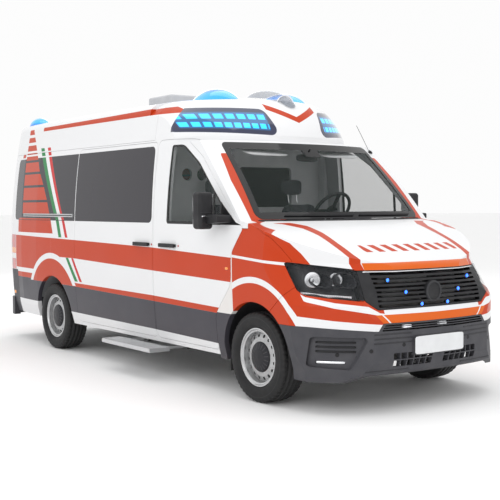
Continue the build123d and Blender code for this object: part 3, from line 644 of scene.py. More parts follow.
@dataclass(frozen=True)
class Glass:
    """A thin pane: see-through or tinted, with a printed black border.

    Attributes:
        name: the material's name.
        tint: colour of the pane.
        clear: how much light the pane lets through, 0 to 1.
        film: whether the livery's stripes run over the pane.
    """

    name: str
    tint: Colour
    clear: float
    film: bool = False

    def edge(self, g: Graph) -> Field | None:
        """Mask of the printed border; a pane without one has None."""
        return None

    def dress(self) -> bpy.types.Material:
        """Makes the material: a mix of clear and glossy, with film and border opaque.

        Returns:
            The material.
        """
        g = Graph(self.name)
        streak = g.noise(3.0, 4.0, (1.0, 1.0, 0.4))
        lighter = tuple(min(1.0, c * 1.25 + 0.004) for c in self.tint)
        colour: Field | Colour = g.mix(streak * 0.25, self.tint, lighter)
        solid: Field | float = 1.0 - self.clear
        if self.film:
            livery = Livery()
            bars, _ = livery.bars(g)
            masks = [(bars, SIDE_ORANGE), *livery.stripe(g)]
            colour = g.stack(colour, masks)
        border = self.edge(g)
        if border is not None:
            colour = g.mix(border, colour, (0.006, 0.006, 0.007))
            solid = border.op("MULTIPLY_ADD", self.clear, 1.0 - self.clear)
        g.set(base_color=colour, alpha=solid, roughness=streak.op("MULTIPLY_ADD", 0.04, 0.03))
        g.set(specular_ior_level=0.32)
        return g.material


@dataclass(frozen=True)
class Windscreen(Glass):
    """The windscreen, whose black border is wider at the top and the foot."""

    def edge(self, g: Graph) -> Field:
        """Border between the pane's outline and a smaller outline inside it.

        Args:
            g: the material's tree.

        Returns:
            The mask of the border.
        """
        _, y, z = g.axes()
        half = z.curve(((1.408, 0.832), (2.046, 0.752)))
        sensor = y.size().below(0.085, 0.004) * z.above(1.93, 0.004)
        return y.size().above(half, 0.003).either(
            z.above(1.988, 0.003)
        ).either(z.below(1.462, 0.003)).either(sensor)


@dataclass(frozen=True)
class DoorGlass(Glass):
    """A front door's window, with a black seal round it and a black divider."""

    def edge(self, g: Graph) -> Field:
        """Border along the sill, the roof line and the two ends of the window.

        Args:
            g: the material's tree.

        Returns:
            The mask of the border.
        """
        x, _, z = g.axes()
        slope = x.curve(((0.748, 2.02), (0.960, 2.02), (1.228, 1.855), (1.604, 1.505)))
        frame_edge = z.above(slope, 0.003).either(
            z.below(1.385, 0.003)
        ).either(x.below(0.778, 0.003)).either(x.above(1.572, 0.003))
        return frame_edge.either((x - 1.475).size().below(0.012, 0.002))


@dataclass(frozen=True)
class SideGlass(Glass):
    """A rear side window with the livery's film and dark printed ends."""

    def edge(self, g: Graph) -> Field:
        """Border along the lower edge of the pane.

        Args:
            g: the material's tree.

        Returns:
            The mask of the border.
        """
        x, _, z = g.axes()
        foot = z.below(1.372, 0.003)
        return foot.either((x - 0.487).size().below(0.01, 0.002))


@dataclass(frozen=True)
class Moulded:
    """A moulded plastic, rubber or coated finish with grain, tone changes and scuffs.

    Attributes:
        name: the material's name.
        colour: main colour.
        worn: colour of the scuffed patches.
        rough: roughness.
        grain: grain patches per metre.
        depth: height of the grain in metres.
        metal: metalness.
    """

    name: str
    colour: Colour
    worn: Colour
    rough: float = 0.5
    grain: float = 900.0
    depth: float = 0.0004
    metal: float = 0.0

    def paint(self, g: Graph, colour: Field) -> Field:
        """Adds the piece's own marks over the main colour; the plain finish has none."""
        return colour

    def dress(self) -> bpy.types.Material:
        """Makes the material.

        Returns:
            The material.
        """
        g = Graph(self.name)
        wear = g.noise(9.0, 5.0).above(0.50, 0.35)
        colour = self.paint(g, g.mix(wear * 0.6, self.colour, self.worn))
        g.set(
            base_color=colour,
            roughness=g.noise(26.0, 3.0).op("MULTIPLY_ADD", 0.22, self.rough - 0.11),
        )
        g.set(metallic=self.metal, specular_ior_level=0.5 if self.metal else 0.28)
        g.bump(g.noise(self.grain, 2.0), 0.35, self.depth)
        return g.material


@dataclass(frozen=True)
class WheelPaint(Moulded):
    """Silver wheel paint with the dark hub cap, road dust in the dished part and painted shade in the
    barrel.
    """

    centre_x: float = 0.0

    def paint(self, g: Graph, colour: Field) -> Field:
        """Darkens the hub cap inside radius 119 mm, and paints shade on the barrel behind the disc.

        Args:
            g: the material's tree.
            colour: the paint so far.

        Returns:
            The marked colour.
        """
        x, y, z = g.axes()
        radius = ((x - self.centre_x).op("POWER", 2.0) + (z - 0.35).op("POWER", 2.0)).op("SQRT")
        turn = (x - self.centre_x).op("ARCTAN2", z - 0.35)
        ribs = turn.op(
            "MULTIPLY", 18 / math.tau,
        ).op("FRACT").within(0.0, 0.14, 0.03) * radius.within(0.066, 0.108, 0.002)
        dust = g.noise(14.0, 4.0) * radius.below(0.205, 0.05)
        colour = g.mix(dust * 0.5, colour, (0.10, 0.095, 0.09))
        colour = g.mix(radius.below(0.119, 0.0015), colour, (0.030, 0.030, 0.034))
        colour = g.mix(ribs, colour, (0.085, 0.085, 0.09))
        # Painted shade: the barrel and the back of the disc, inboard of 885 mm, are painted near black
        # where the rim well lies in shadow.
        return g.mix(
            y.size().below(0.885, 0.01) * radius.below(0.205, 0.01), colour, (0.012, 0.012, 0.012),
        )


@dataclass(frozen=True)
class Tyre(Moulded):
    """Tyre rubber, greyer on the tread, with a fine ring moulded on the wall."""

    centre_x: float = 0.0

    def paint(self, g: Graph, colour: Field) -> Field:
        """Dust on the tread, and one fine ring on the side wall.

        Args:
            g: the material's tree.
            colour: the rubber so far.

        Returns:
            The marked colour.
        """
        x, _, z = g.axes()
        radius = ((x - self.centre_x).op("POWER", 2.0) + (z - 0.35).op("POWER", 2.0)).op("SQRT")
        colour = g.mix(radius.above(0.335, 0.02) * 0.5, colour, (0.035, 0.034, 0.034))
        return g.mix(radius.within(0.306, 0.309, 0.002) * 0.6, colour, (0.055, 0.055, 0.057))


@dataclass(frozen=True)
class Lens:
    """A lamp lens, glossy over a coloured body that may glow.

    Attributes:
        name: the material's name.
        deep: colour in the shadowed parts.
        bright: colour where the light comes through.
        glow: strength of the light.
        cells: lens cells per metre.
    """

    name: str
    deep: Colour
    bright: Colour
    glow: float
    cells: float = 60.0

    def lit(self, g: Graph) -> Field:
        """Mask of the part that shines: faint vertical and level prisms."""
        _, y, z = g.axes()
        return (
            y * self.cells
        ).op("FRACT").within(0.1, 0.9, 0.2) * (z * self.cells).op("FRACT").within(0.1, 0.9, 0.2)

    def dress(self) -> bpy.types.Material:
        """Makes the material.

        Returns:
            The material.
        """
        g = Graph(self.name)
        lit = self.lit(g)
        colour = g.mix(lit, self.deep, self.bright)
        g.set(base_color=colour, emission_color=colour, emission_strength=lit * self.glow)
        g.set(
            roughness=g.noise(30.0).op("MULTIPLY_ADD", 0.06, 0.04), coat_weight=1.0,
            coat_roughness=0.02,
        )
        return g.material


@dataclass(frozen=True)
class BlueBar(Lens):
    """The blue lens in the roof front: navy border, bright inside, rows of modules."""

    def lit(self, g: Graph) -> Field:
        """Bright within the lens outline set in by about 35 mm, stronger at the modules.

        Args:
            g: the material's tree.

        Returns:
            The mask of the light.
        """
        _, y, z = g.axes()
        across = y.size()
        foot = across.curve(((0.225, 2.155), (0.955, 2.190)))
        head = across.curve(((0.30, 2.315), (0.915, 2.335)))
        inside = z.within(foot, head, 0.012) * across.within(0.305, 0.895, 0.014)
        row_one = (across * 15.5).op("FRACT").within(0.14, 0.86, 0.05) * z.within(
            foot + 0.012, foot + 0.055, 0.006,
        )
        row_two = (across * 13.0).op("FRACT").within(0.14, 0.86, 0.05) * z.within(
            head - 0.062, head - 0.018, 0.006,
        )
        return inside * (row_one.either(row_two)).op("MULTIPLY_ADD", 0.72, 0.22)


@dataclass(frozen=True)
class BeaconLens(Lens):
    """A dome beacon that glows low in the dome."""

    def lit(self, g: Graph) -> Field:
        """Bright in the lower middle of the dome."""
        _, _, z = g.axes()
        return z.within(2.44, 2.56, 0.06)


@dataclass(frozen=True)
class TailLens(Lens):
    """A tail lamp, red with an amber and a clear field."""

    def dress(self) -> bpy.types.Material:
        """Makes the lamp with its fields one above another.

        Returns:
            The material.
        """
        g = Graph(self.name)
        _, y, z = g.axes()
        prisms = (z * 95.0).op("FRACT").within(
            0.12, 0.88, 0.2,
        ) * (y * 70.0).op("FRACT").within(0.1, 0.9, 0.2)
        colour = g.mix(prisms, (0.22, 0.004, 0.004), (0.62, 0.012, 0.010))
        colour = g.mix(z.within(0.985, 1.045), colour, (0.75, 0.25, 0.02))
        colour = g.mix(z.within(0.920, 0.980), colour, (0.68, 0.67, 0.66))
        g.set(
            base_color=colour, roughness=g.noise(30.0).op("MULTIPLY_ADD", 0.06, 0.06),
            coat_weight=1.0,
        )
        return g.material


# ------------------------------------------------------------------ surfaces


class Surface:
    """Meshes worked out as whole numpy arrays of points."""

    @staticmethod
    def mesh(
        name: str, points: np.ndarray, quads: np.ndarray, triangles: np.ndarray,
    ) -> bpy.types.Object:
        """Makes an object at the origin from points and faces.

        Args:
            name: the object's name.
            points: an n by 3 array of places in metres.
            quads: an m by 4 array of point numbers.
            triangles: a k by 3 array of point numbers.

        Returns:
            The object, shaded smooth.
        """
        loops = np.concatenate([quads.ravel(), triangles.ravel()]).astype(np.int32)
        sizes = np.concatenate(
            [np.full(len(quads), 4), np.full(len(triangles), 3)]
        ).astype(np.int32)
        starts = np.concatenate([[0], np.cumsum(sizes)[:-1]]).astype(np.int32)
        data = bpy.data.meshes.new(name)
        data.vertices.add(len(points))
        data.vertices.foreach_set("co", points.astype(np.float32).ravel())
        data.loops.add(len(loops))
        data.loops.foreach_set("vertex_index", loops)
        data.polygons.add(len(sizes))
        data.polygons.foreach_set("loop_start", starts)
        data.update(calc_edges=True)
        data.validate()
        data.polygons.foreach_set("use_smooth", np.ones(len(data.polygons), bool))
        obj = bpy.data.objects.new(name, data)
        bpy.context.scene.collection.objects.link(obj)
        return obj

    @staticmethod
    def faces(rows: int, columns: int, close_u: bool, close_v: bool) -> np.ndarray:
        """Quads of a grid of points, numbered row by row, wrapped round where it closes.

        Args:
            rows: number of rows.
            columns: number of points in a row.
            close_u: whether the last row joins the first.
            close_v: whether the last point of a row joins its first.

        Returns:
            An n by 4 array of point numbers.
        """
        u = np.arange(rows if close_u else rows - 1)
        v = np.arange(columns if close_v else columns - 1)
        a, b = np.meshgrid(u, v, indexing="ij")
        c, d = (a + 1) % rows, (b + 1) % columns
        return np.stack(
            [a * columns + b, c * columns + b, c * columns + d, a * columns + d], -1,
        ).reshape(-1, 4)

    @classmethod
    def grid(cls, name: str, points: np.ndarray, close_u: bool = False, close_v: bool = False,
             cap_start: bool = False, cap_end: bool = False, turn: bool = False) -> bpy.types.Object:
        """Makes a surface from a grid of points.

        Args:
            name: the object's name.
            points: rows by columns by 3 places in metres.
            close_u: whether the last row joins the first.
            close_v: whether the last column joins the first.
            cap_start: whether the first row is closed by a fan about its mean.
            cap_end: whether the last row is closed by a fan about its mean.
            turn: whether the faces are turned over.

        Returns:
            The object.
        """
        rows, columns = points.shape[:2]
        quads = cls.faces(rows, columns, close_u, close_v)
        flat = points.reshape(-1, 3)
        ring = np.arange(columns)
        fans = []
        for wanted, row, flip in ((cap_start, 0, True), (cap_end, rows - 1, False)):
            if wanted:
                middle = np.full(columns, len(flat))
                flat = np.vstack([flat, points[row].mean(0)])
                one, two = row * columns + ring, row * columns + (ring + 1) % columns
                fans.append(np.stack([two, one, middle] if not flip else [one, two, middle], -1))
        triangles = np.concatenate(fans) if fans else np.zeros((0, 3), int)
        if turn:
            quads, triangles = quads[:, ::-1], triangles[:, ::-1]
        return cls.mesh(name, flat, quads, triangles)

    @classmethod
    def ball(cls, name: str, centre: Point, half: Point, power: float = 2.0, detail: int = 24,
             turn: np.ndarray | None = None) -> bpy.types.Object:
        """Makes a rounded block: a superellipsoid |x/a|^p + |y/b|^p + |z/c|^p = 1.

        Args:
            name: the object's name.
            centre: its middle.
            half: its half sizes a, b and c.
            power: p; 2 is an ellipsoid, and a larger one is squarer.
            detail: points round half a turn.
            turn: a 3 by 3 matrix that turns the block about its middle.

        Returns:
            The object.
        """
        lat = np.linspace(-math.pi / 2, math.pi / 2, detail + 1)[1:-1]
        lon = np.linspace(0, math.tau, 2 * detail + 1)[:-1]
        a, b = np.meshgrid(lat, lon, indexing="ij")
        way = np.stack([np.cos(a) * np.cos(b), np.cos(a) * np.sin(b), np.sin(a)], -1)
        size = (np.abs(way) ** power).sum(-1, keepdims=True) ** (-1.0 / power)
        shape = way * size * np.array(half)
        poles = np.array([[0, 0, -half[2]], [0, 0, half[2]]], float)
        if turn is not None:
            shape, poles = shape @ turn.T, poles @ turn.T
        rows, columns = shape.shape[:2]
        flat = np.vstack([shape.reshape(-1, 3), poles]) + np.array(centre)
        ring = np.arange(columns)
        nxt = (ring + 1) % columns
        first = np.stack([nxt, ring, np.full(columns, rows * columns)], -1)
        last = np.stack(
            [
                (rows - 1) * columns + ring, (rows - 1) * columns + nxt,
                np.full(columns, rows * columns + 1),
            ],
            -1,
        )
        quads = cls.faces(rows, columns, False, True)[:, ::-1]
        return cls.mesh(name, flat, quads, np.concatenate([first, last]))

    @classmethod
    def lathe(
        cls, name: str, profile: Sequence[Pair], centre: Point, axis: Point, steps: int = 48,
    ) -> bpy.types.Object:
        """Makes a turned piece: each profile point (r, h) is carried round an axis.

        Args:
            name: the object's name.
            profile: (radius, height) pairs; a radius of 0 at an end closes it there.
            centre: the point of height 0.
            axis: the direction of height.
            steps: points round the turn.

        Returns:
            The object.
        """
        way = Vector(axis).normalized()
        side = way.orthogonal().normalized()
        other = way.cross(side)
        r = np.array([max(p[0], 1e-5) for p in profile])[:, None, None]
        h = np.array([p[1] for p in profile])[:, None, None]
        t = np.linspace(0, math.tau, steps + 1)[:-1][None, :, None]
        points = np.array(centre) + h * np.array(way) + r * (
            np.cos(t) * np.array(side) + np.sin(t) * np.array(other)
        )
        rising = float(profile[-1][1]) >= float(profile[0][1])
        return cls.grid(name, points, close_v=True, cap_start=True, cap_end=True, turn=rising)

    @classmethod
    def tube(cls, name: str, path: np.ndarray, half: Pair, up: Point = (0, 0, 1), sides: int = 12,
             power: float = 2.0) -> bpy.types.Object:
        """Makes a rod: a rounded section |a|^p + |b|^p = 1 carried along a path.

        Args:
            name: the object's name.
            path: n by 3 places along its middle.
            half: the section's half width, level, and half height, upright.
            up: the direction that the section's height leans to.
            sides: points round the section.
            power: p; a larger one is squarer.

        Returns:
            The object.
        """
        ahead = np.gradient(path, axis=0)
        ahead /= np.linalg.norm(ahead, axis=1, keepdims=True)
        level = np.cross(ahead, np.array(up, float))
        level /= np.linalg.norm(level, axis=1, keepdims=True)
        high = np.cross(level, ahead)
        t = np.linspace(0, math.tau, sides + 1)[:-1]
        c, s = np.cos(t), np.sin(t)
        size = (np.abs(c) ** power + np.abs(s) ** power) ** (-1.0 / power)
        a, b = c * size * half[0], s * size * half[1]
        points = path[:, None] + a[
            None, :, None,
        ] * level[:, None] + b[None, :, None] * high[:, None]
        return cls.grid(name, points, close_v=True, cap_start=True, cap_end=True)

    @classmethod
    def plate(cls, name: str, centre: Point, wide: Point, high: Point, half: Pair, thick: float,
              corner: float = 6.0, crown: float = 0.0) -> bpy.types.Object:
        """Makes a thin plate with rounded corners, raised a little at its middle.

        The outline is the superellipse |a|^p + |b|^p = 1, filled by rings that shrink
        to the middle, and the height is thick + crown * (1 - ring^2).

        Args:
            name: the object's name.
            centre: the middle of its back face.
            wide: direction of its width.
            high: direction of its height.
            half: half width and half height.
            thick: thickness at the rim.
            corner: p.
            crown: extra height at the middle.

        Returns:
            The object.
        """
        w, h = np.array(Vector(wide).normalized()), np.array(Vector(high).normalized())
        out = np.cross(w, h)
        t = np.linspace(0, math.tau, 65)[:-1]
        c, s = np.cos(t), np.sin(t)
        size = (np.abs(c) ** corner + np.abs(s) ** corner) ** (-1.0 / corner)
        rim = np.array([0.3, 0.97, 1.0, 1.0, 0.985, 0.9, 0.7, 0.45, 0.2])
        tall = np.array([0.0, 0.0, thick * 0.15, thick * 0.8, thick, thick, thick, thick, thick])
        tall = tall + np.where(np.arange(9) > 3, crown * (1 - rim ** 2), 0)
        points = (
            np.array(centre)
            + (rim[:, None] * (c * size * half[0])[None])[..., None] * w
            + (rim[:, None] * (s * size * half[1])[None])[..., None] * h
            + tall[:, None, None] * out
        )
        return cls.grid(name, points, close_v=True, cap_start=True, cap_end=True, turn=True)


def outfit(
    obj: bpy.types.Object, material: bpy.types.Material, body: str = "body",
) -> bpy.types.Object:
    """Gives a new piece its finish and the body it rides.

    Args:
        obj: the piece.
        material: its finish.
        body: the CAD body that carries it.

    Returns:
        The same piece.
    """
    obj.data.materials.append(material)
    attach(obj, body)
    return obj


def touch(node: str, start: Point, way: Point) -> tuple[np.ndarray, np.ndarray]:
    """Finds where a straight line first meets a CAD node.

    Args:
        node: the node's name.
        start: where the line starts.
        way: its direction.

    Returns:
        The place and the surface's outward direction there; the start itself where
        the line misses the node.
    """
    hit, place, normal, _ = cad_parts[node].ray_cast(Vector(start), Vector(way).normalized())
    if not hit:
        log.warning("nothing of %s at %s", node, start)
        return np.array(start, float), -np.array(Vector(way).normalized())
    normal = np.array(normal)
    return np.array(place), normal if normal @ np.array(way) < 0 else -normal


@dataclass(frozen=True)
class PieceFinishes:
    """Finishes shared by the added pieces."""

    black: bpy.types.Material
    satin: bpy.types.Material
    chrome: bpy.types.Material
    white: bpy.types.Material
    lamp: bpy.types.Material
    blue: bpy.types.Material
    red: bpy.types.Material
    amber: bpy.types.Material
    cloth: bpy.types.Material

    @classmethod
    def make(cls) -> "PieceFinishes":
        """Makes the materials once."""
        return cls(
            Moulded("trim_black", (0.010, 0.010, 0.011), (0.024, 0.024, 0.026), 0.40).dress(),
            Moulded("trim_satin", (0.030, 0.030, 0.034), (0.048, 0.048, 0.052), 0.50).dress(),
            Moulded(
                "trim_chrome", (0.78, 0.79, 0.81), (0.62, 0.63, 0.66), 0.16, 200.0, 0.0001, 1.0,
            ).dress(),
            Moulded(
                "trim_white", (0.74, 0.75, 0.76), (0.64, 0.65, 0.66), 0.38, 500.0, 0.0001,
            ).dress(),
            Lens("lamp_white", (0.60, 0.62, 0.66), (0.95, 0.96, 1.0), 0.35, 90.0).dress(),
            Lens("lamp_blue", (0.005, 0.05, 0.80), (0.02, 0.16, 1.0), 5.0, 200.0).dress(),
            Lens("lamp_red", (0.25, 0.004, 0.004), (0.60, 0.012, 0.010), 0.0, 120.0).dress(),
            Lens("lamp_amber", (0.55, 0.14, 0.01), (0.90, 0.30, 0.02), 0.0, 120.0).dress(),
            Moulded(
                "seat_weave", (0.038, 0.040, 0.048), (0.060, 0.062, 0.072), 0.88, 1500.0, 0.0007,
            ).dress(),
        )


@dataclass
class TyreTreads:
    """Four tyres with grooved treads, in place of the plain ones."""

    half_track: float = 0.875
    height: float = 0.35
    steps: int = 240
    blocks: int = 48
    groove: float = 8.0
    cut_depth: float = 0.005

    def section(self) -> np.ndarray:
        """The closed section, (across, radius, grooved) rows, from tread to bead and back.

        Returns:
            An n by 3 array: millimetres across, millimetres of radius, and the cross-cut mask.
        """
        tread = [-98, -90, -70, -68.5, -58, -56.5, -28, -26.5, -17, -15.5]
        tread = tread + [-v for v in reversed(tread)]
        rows = []
        for w in tread:
            groove = self.groove if 57 < abs(w) < 69 or 16 < abs(w) < 27 else 0.0
            rows.append(
                (w, 350.0 - 5.0 * (abs(w) / 98) ** 3 - groove, 1.0 if abs(w) >= 70 else 0.0)
            )
        wall = [
            (106, 340, 1), (112, 326, 0.4), (115, 308, 0), (117, 290, 0), (116, 268, 0),
            (110, 248, 0), (100, 234, 0), (92, 227, 0), (84, 222, 0),
        ]
        return np.array(rows + wall + [(-w, r, s) for w, r, s in reversed(wall)], float)

    def build(self) -> None:
        """Builds each tyre: the section turned about the axle, with cross cuts.

        A point's radius is the section's, less the cut's depth where the shoulder mask holds and
        sin(blocks * angle) is over 0.35, which makes the blocks at the tread's edges.
        """
        rows = self.section()
        angle = np.linspace(0, math.tau, self.steps + 1)[:-1]
        cut = np.clip((np.sin(self.blocks * angle) - 0.35) * 4, 0, 1)
        for name, x, side in (
            ("front_right", 2.02, -1), ("front_left", 2.02, 1), ("rear_right", -1.62, -1),
            ("rear_left", -1.62, 1),
        ):
            w = rows[:, 0][:, None] / 1000 + 0 * angle
            r = rows[:, 1][:, None] / 1000 - self.cut_depth * rows[:, 2][:, None] * cut[None]
            points = np.stack(
                [
                    x + r * np.cos(angle), side * self.half_track + w,
                    self.height + r * np.sin(angle),
                ],
                -1,
            )
            obj = Surface.grid("tread_" + name, points, close_u=True, close_v=True, turn=True)
            finish = Tyre(
                "rubber_tread_" + name, (0.013, 0.013, 0.014), (0.020, 0.020, 0.020), 0.60, 700.0,
                0.0003, centre_x=x,
            )
            outfit(obj, finish.dress(), "wheel_" + name)
            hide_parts("tyre_" + name)


@dataclass
class Lamps:
    """Headlight reflectors, the blue grille lamps and the small lamps of the body."""

    finish: PieceFinishes
    bowls: tuple[Point, ...] = ((2.586, 0.860, 0.972), (2.726, 0.725, 0.972))
    leds: tuple[Point, ...] = (
        (2.87, -0.422, 0.969), (2.91, -0.273, 0.877), (2.94, -0.136, 0.785), (2.94, 0.136, 0.786),
        (2.91, 0.280, 0.876), (2.87, 0.423, 0.966),
    )

    def headlights(self) -> None:
        """Two faceted bowls with a projector each, and a running-light bar, a side."""
        for side, label in ((-1, "right"), (1, "left")):
            for i, (x, y, z) in enumerate(self.bowls):
                place, normal = touch("headlight_units", (x + 0.4, side * y, z), (-1, 0, 0))
                axis = np.array([0.80, 0.60 * side, 0.0])
                size = 0.054 if i == 0 else 0.047
                bowl = Surface.lathe(
                    f"headlight_bowl_{label}_{i}",
                    [
                        (0, 0.0005), (size * 0.5, 0.002), (size * 0.92, 0.010), (size, 0.011),
                        (size * 1.06, 0.009), (size * 1.06, -0.01), (0, -0.012),
                    ][::-1],
                    place, axis,
                )
                outfit(bowl, self.finish.chrome)
                lens = Surface.ball(
                    f"headlight_projector_{label}_{i}", tuple(place + axis * 0.004),
                    (0.008, 0.019, 0.019), 2.0, 16,
                )
                outfit(lens, self.finish.chrome)
            path = []
            for x, y, z in (
                (2.496, 0.944, 0.941), (2.621, 0.902, 0.872), (2.735, 0.795, 0.855),
                (2.840, 0.672, 0.846),
            ):
                place, normal = touch("headlight_units", (x + 0.4, side * y, z), (-1, 0, 0))
                if place[0] < x + 0.35:
                    path.append(place + normal * 0.002)
            line = np.array(path)
            t = np.linspace(0, len(line) - 1, 40)
            smooth = np.stack([np.interp(t, range(len(line)), line[:, k]) for k in range(3)], -1)
            outfit(
                Surface.tube("running_light_" + label, smooth, (0.004, 0.009)), self.finish.lamp,
            )

    def grille(self) -> None:
        """Six small blue lamps with dark rims, the bright top strip and the blank ring."""
        for i, (x, y, z) in enumerate(self.leds):
            place, _ = touch("grille", (x + 0.3, y, z), (-1, 0, 0))
            if abs(place[0] - x) > 0.08:
                place = np.array([x, y, z])
            rim = Surface.lathe(
                f"grille_lamp_rim_{i}",
                [(0, -0.012), (0.021, -0.012), (0.021, 0.004), (0.016, 0.006), (0, 0.004)],
                tuple(place), (1, 0, 0), 24,
            )
            outfit(rim, self.finish.black)
            led = Surface.ball(
                f"grille_lamp_{i}", tuple(place + np.array([0.006, 0, 0])), (0.006, 0.013, 0.013),
                2.0, 14,
            )
            outfit(led, self.finish.blue)
        ring = Surface.lathe(
            "grille_ring",
            [
                (0.064, -0.004), (0.064, 0.004), (0.070, 0.008), (0.078, 0.006), (0.080, 0.0),
                (0.080, -0.004),
            ],
            (2.932, 0, 0.871), (1, 0, 0), 64,
        )
        outfit(ring, self.finish.satin)
        rows = []
        for y in np.linspace(-0.58, 0.58, 41):
            place, _ = touch("grille", (3.2, float(y), 1.029), (-1, 0, 0))
            rows.append(place)
        line = np.array(rows)
        keep = line[:, 0] < 3.1
        outfit(
            Surface.tube("grille_top_strip", line[keep] + np.array([0.001, 0, 0]), (0.004, 0.0045)),
            self.finish.chrome,
        )

    def small(self) -> None:
        """Lamps in the upper intake, side markers, roof marker and rear reflectors."""
        for i, y in enumerate((-0.300, 0.062)):
            lamp = Surface.ball(
                f"intake_lamp_{i}", (2.958 - 0.06 * y * y, y, 0.631), (0.016, 0.042, 0.015), 5.0,
                16,
            )
            outfit(lamp, self.finish.lamp)
        for side, label in ((-1, "right"), (1, "left")):
            for name, x, z, size, finish, slot in (
                ("marker_rear", -2.78, 0.529, (0.030, 0.006, 0.018), self.finish.amber, "red_lens"),
                ("side_repeater", 1.68, 1.02, (0.022, 0.005, 0.011), self.finish.amber, "red_lens"),
            ):
                node = "rear_bumper" if x < -2.7 else (
                    "body_side_" + label if x < 1.0 else "front_door_" + label
                )
                place, _ = touch(node, (x, side * 1.4, z), (0, -side, 0))
                body = "body" if x < 1.0 else "front_door_" + label
                outfit(
                    Surface.ball(f"{name}_{label}", tuple(place), size, 3.0, 14), finish, body,
                )
            place, _ = touch("body_side_" + label, (1.281, side * 1.4, 2.009), (0, -side, 0))
            outfit(
                Surface.ball("roof_marker_" + label, tuple(place), (0.019, 0.006, 0.019), 2.2, 14),
                self.finish.lamp,
            )

    def search(self) -> None:
        """A faceted dish and bulb inside the searchlight's clear dome."""
        dish = Surface.lathe(
            "searchlight_dish",
            [
                (0, -0.035), (0.05, -0.028), (0.085, 0.0), (0.098, 0.035), (0.094, 0.035),
                (0.08, 0.0), (0.045, -0.022), (0, -0.028),
            ],
            (1.09, 0.0, 2.405), (1, 0, -0.12), 36,
        )
        outfit(dish, self.finish.lamp)
        bulb = Surface.ball("searchlight_bulb", (1.105, 0.0, 2.403), (0.030, 0.018, 0.018), 2.0, 14)
        outfit(bulb, self.finish.lamp)

    def build(self) -> None:
        """Builds all the lamps."""
        self.headlights()
        self.grille()
        self.small()
        self.search()


@dataclass
class FrontTrim:
    """Blank number plate, parking sensors, fog louvres, ribs and badges left plain."""

    finish: PieceFinishes
    plate_half: Pair = (0.255, 0.066)
    rib_heights: tuple[float, ...] = (0.585, 0.552, 0.520, 0.318)

    def plate(self) -> None:
        """A blank plate in a dark surround on the bumper's flat pad."""
        surround = Surface.plate(
            "front_plate_surround", (2.9895, 0, 0.488), (0, 1, 0), (0, 0, 1),
            (self.plate_half[0] + 0.008, self.plate_half[1] + 0.008), 0.006, 14.0,
        )
        outfit(surround, self.finish.satin)
        plate = Surface.plate(
            "front_plate", (2.9950, 0, 0.488), (0, 1, 0), (0, 0, 1), self.plate_half, 0.003, 16.0,
            0.0006,
        )
        outfit(plate, self.finish.white)

    def follow(self, node: str, z: float, low: float, high: float, count: int = 30) -> np.ndarray:
        """Places along a node's front at one height, read by straight lines from ahead.

        Args:
            node: the CAD node.
            z: the height.
            low: the lowest y.
            high: the highest y.
            count: number of places.

        Returns:
            An n by 3 array of places, without the lines that miss the node.
        """
        ys = np.linspace(low, high, count)
        line = np.array([touch(node, (3.3, float(y), z), (-1, 0, 0))[0] for y in ys])
        return line[line[:, 0] < 3.2]

    def ribs(self) -> None:
        """Raised level ribs across the bumper's middle, and louvres in the fog recesses."""
        for i, z in enumerate(self.rib_heights):
            for side, label in ((-1, "right"), (1, "left")):
                edges = (0.275, 0.60 if z > 0.5 else 0.66)
                line = self.follow("front_bumper", z, *(sorted(side * e for e in edges)))
                rib = Surface.tube(f"bumper_rib_{label}_{i}", line, (0.004, 0.005), sides=10)
                outfit(rib, self.finish.satin)
        for side, label in ((-1, "right"), (1, "left")):
            for i, z in enumerate((0.530, 0.497, 0.464)):
                line = self.follow("front_bumper", z, *sorted((side * 0.70, side * 0.90)), 16)
                louvre = Surface.tube(
                    f"fog_louvre_{label}_{i}", line + np.array([0.004, 0, 0]), (0.008, 0.007),
                    sides=10, power=4.0,
                )
                outfit(louvre, self.finish.black)
            line = self.follow("front_bumper", 0.385, *sorted((side * 0.76, side * 0.90)), 16)
            strip = Surface.tube(
                "fog_strip_" + label, line + np.array([0.003, 0, 0]), (0.006, 0.010), sides=10,
                power=4.0,
            )
            outfit(strip, self.finish.chrome)

    def sensors(self) -> None:
        """Six round parking sensors on the bumper."""
        for i, (y, z) in enumerate(
            ((-0.80, 0.44), (-0.62, 0.47), (-0.34, 0.50), (0.34, 0.50), (0.62, 0.47), (0.80, 0.44))
        ):
            place, normal = touch("front_bumper", (3.3, y, z), (-1, 0, 0))
            disc = Surface.lathe(
                f"parking_sensor_{i}",
                [
                    (0, -0.006), (0.015, -0.006), (0.015, 0.001), (0.012, 0.003), (0.009, 0.002),
                    (0, 0.0025),
                ],
                tuple(place), tuple(normal), 24,
            )
            outfit(disc, self.finish.black)

    def build(self) -> None:
        """Builds the front trim."""
        self.plate()
        self.ribs()
        self.sensors()


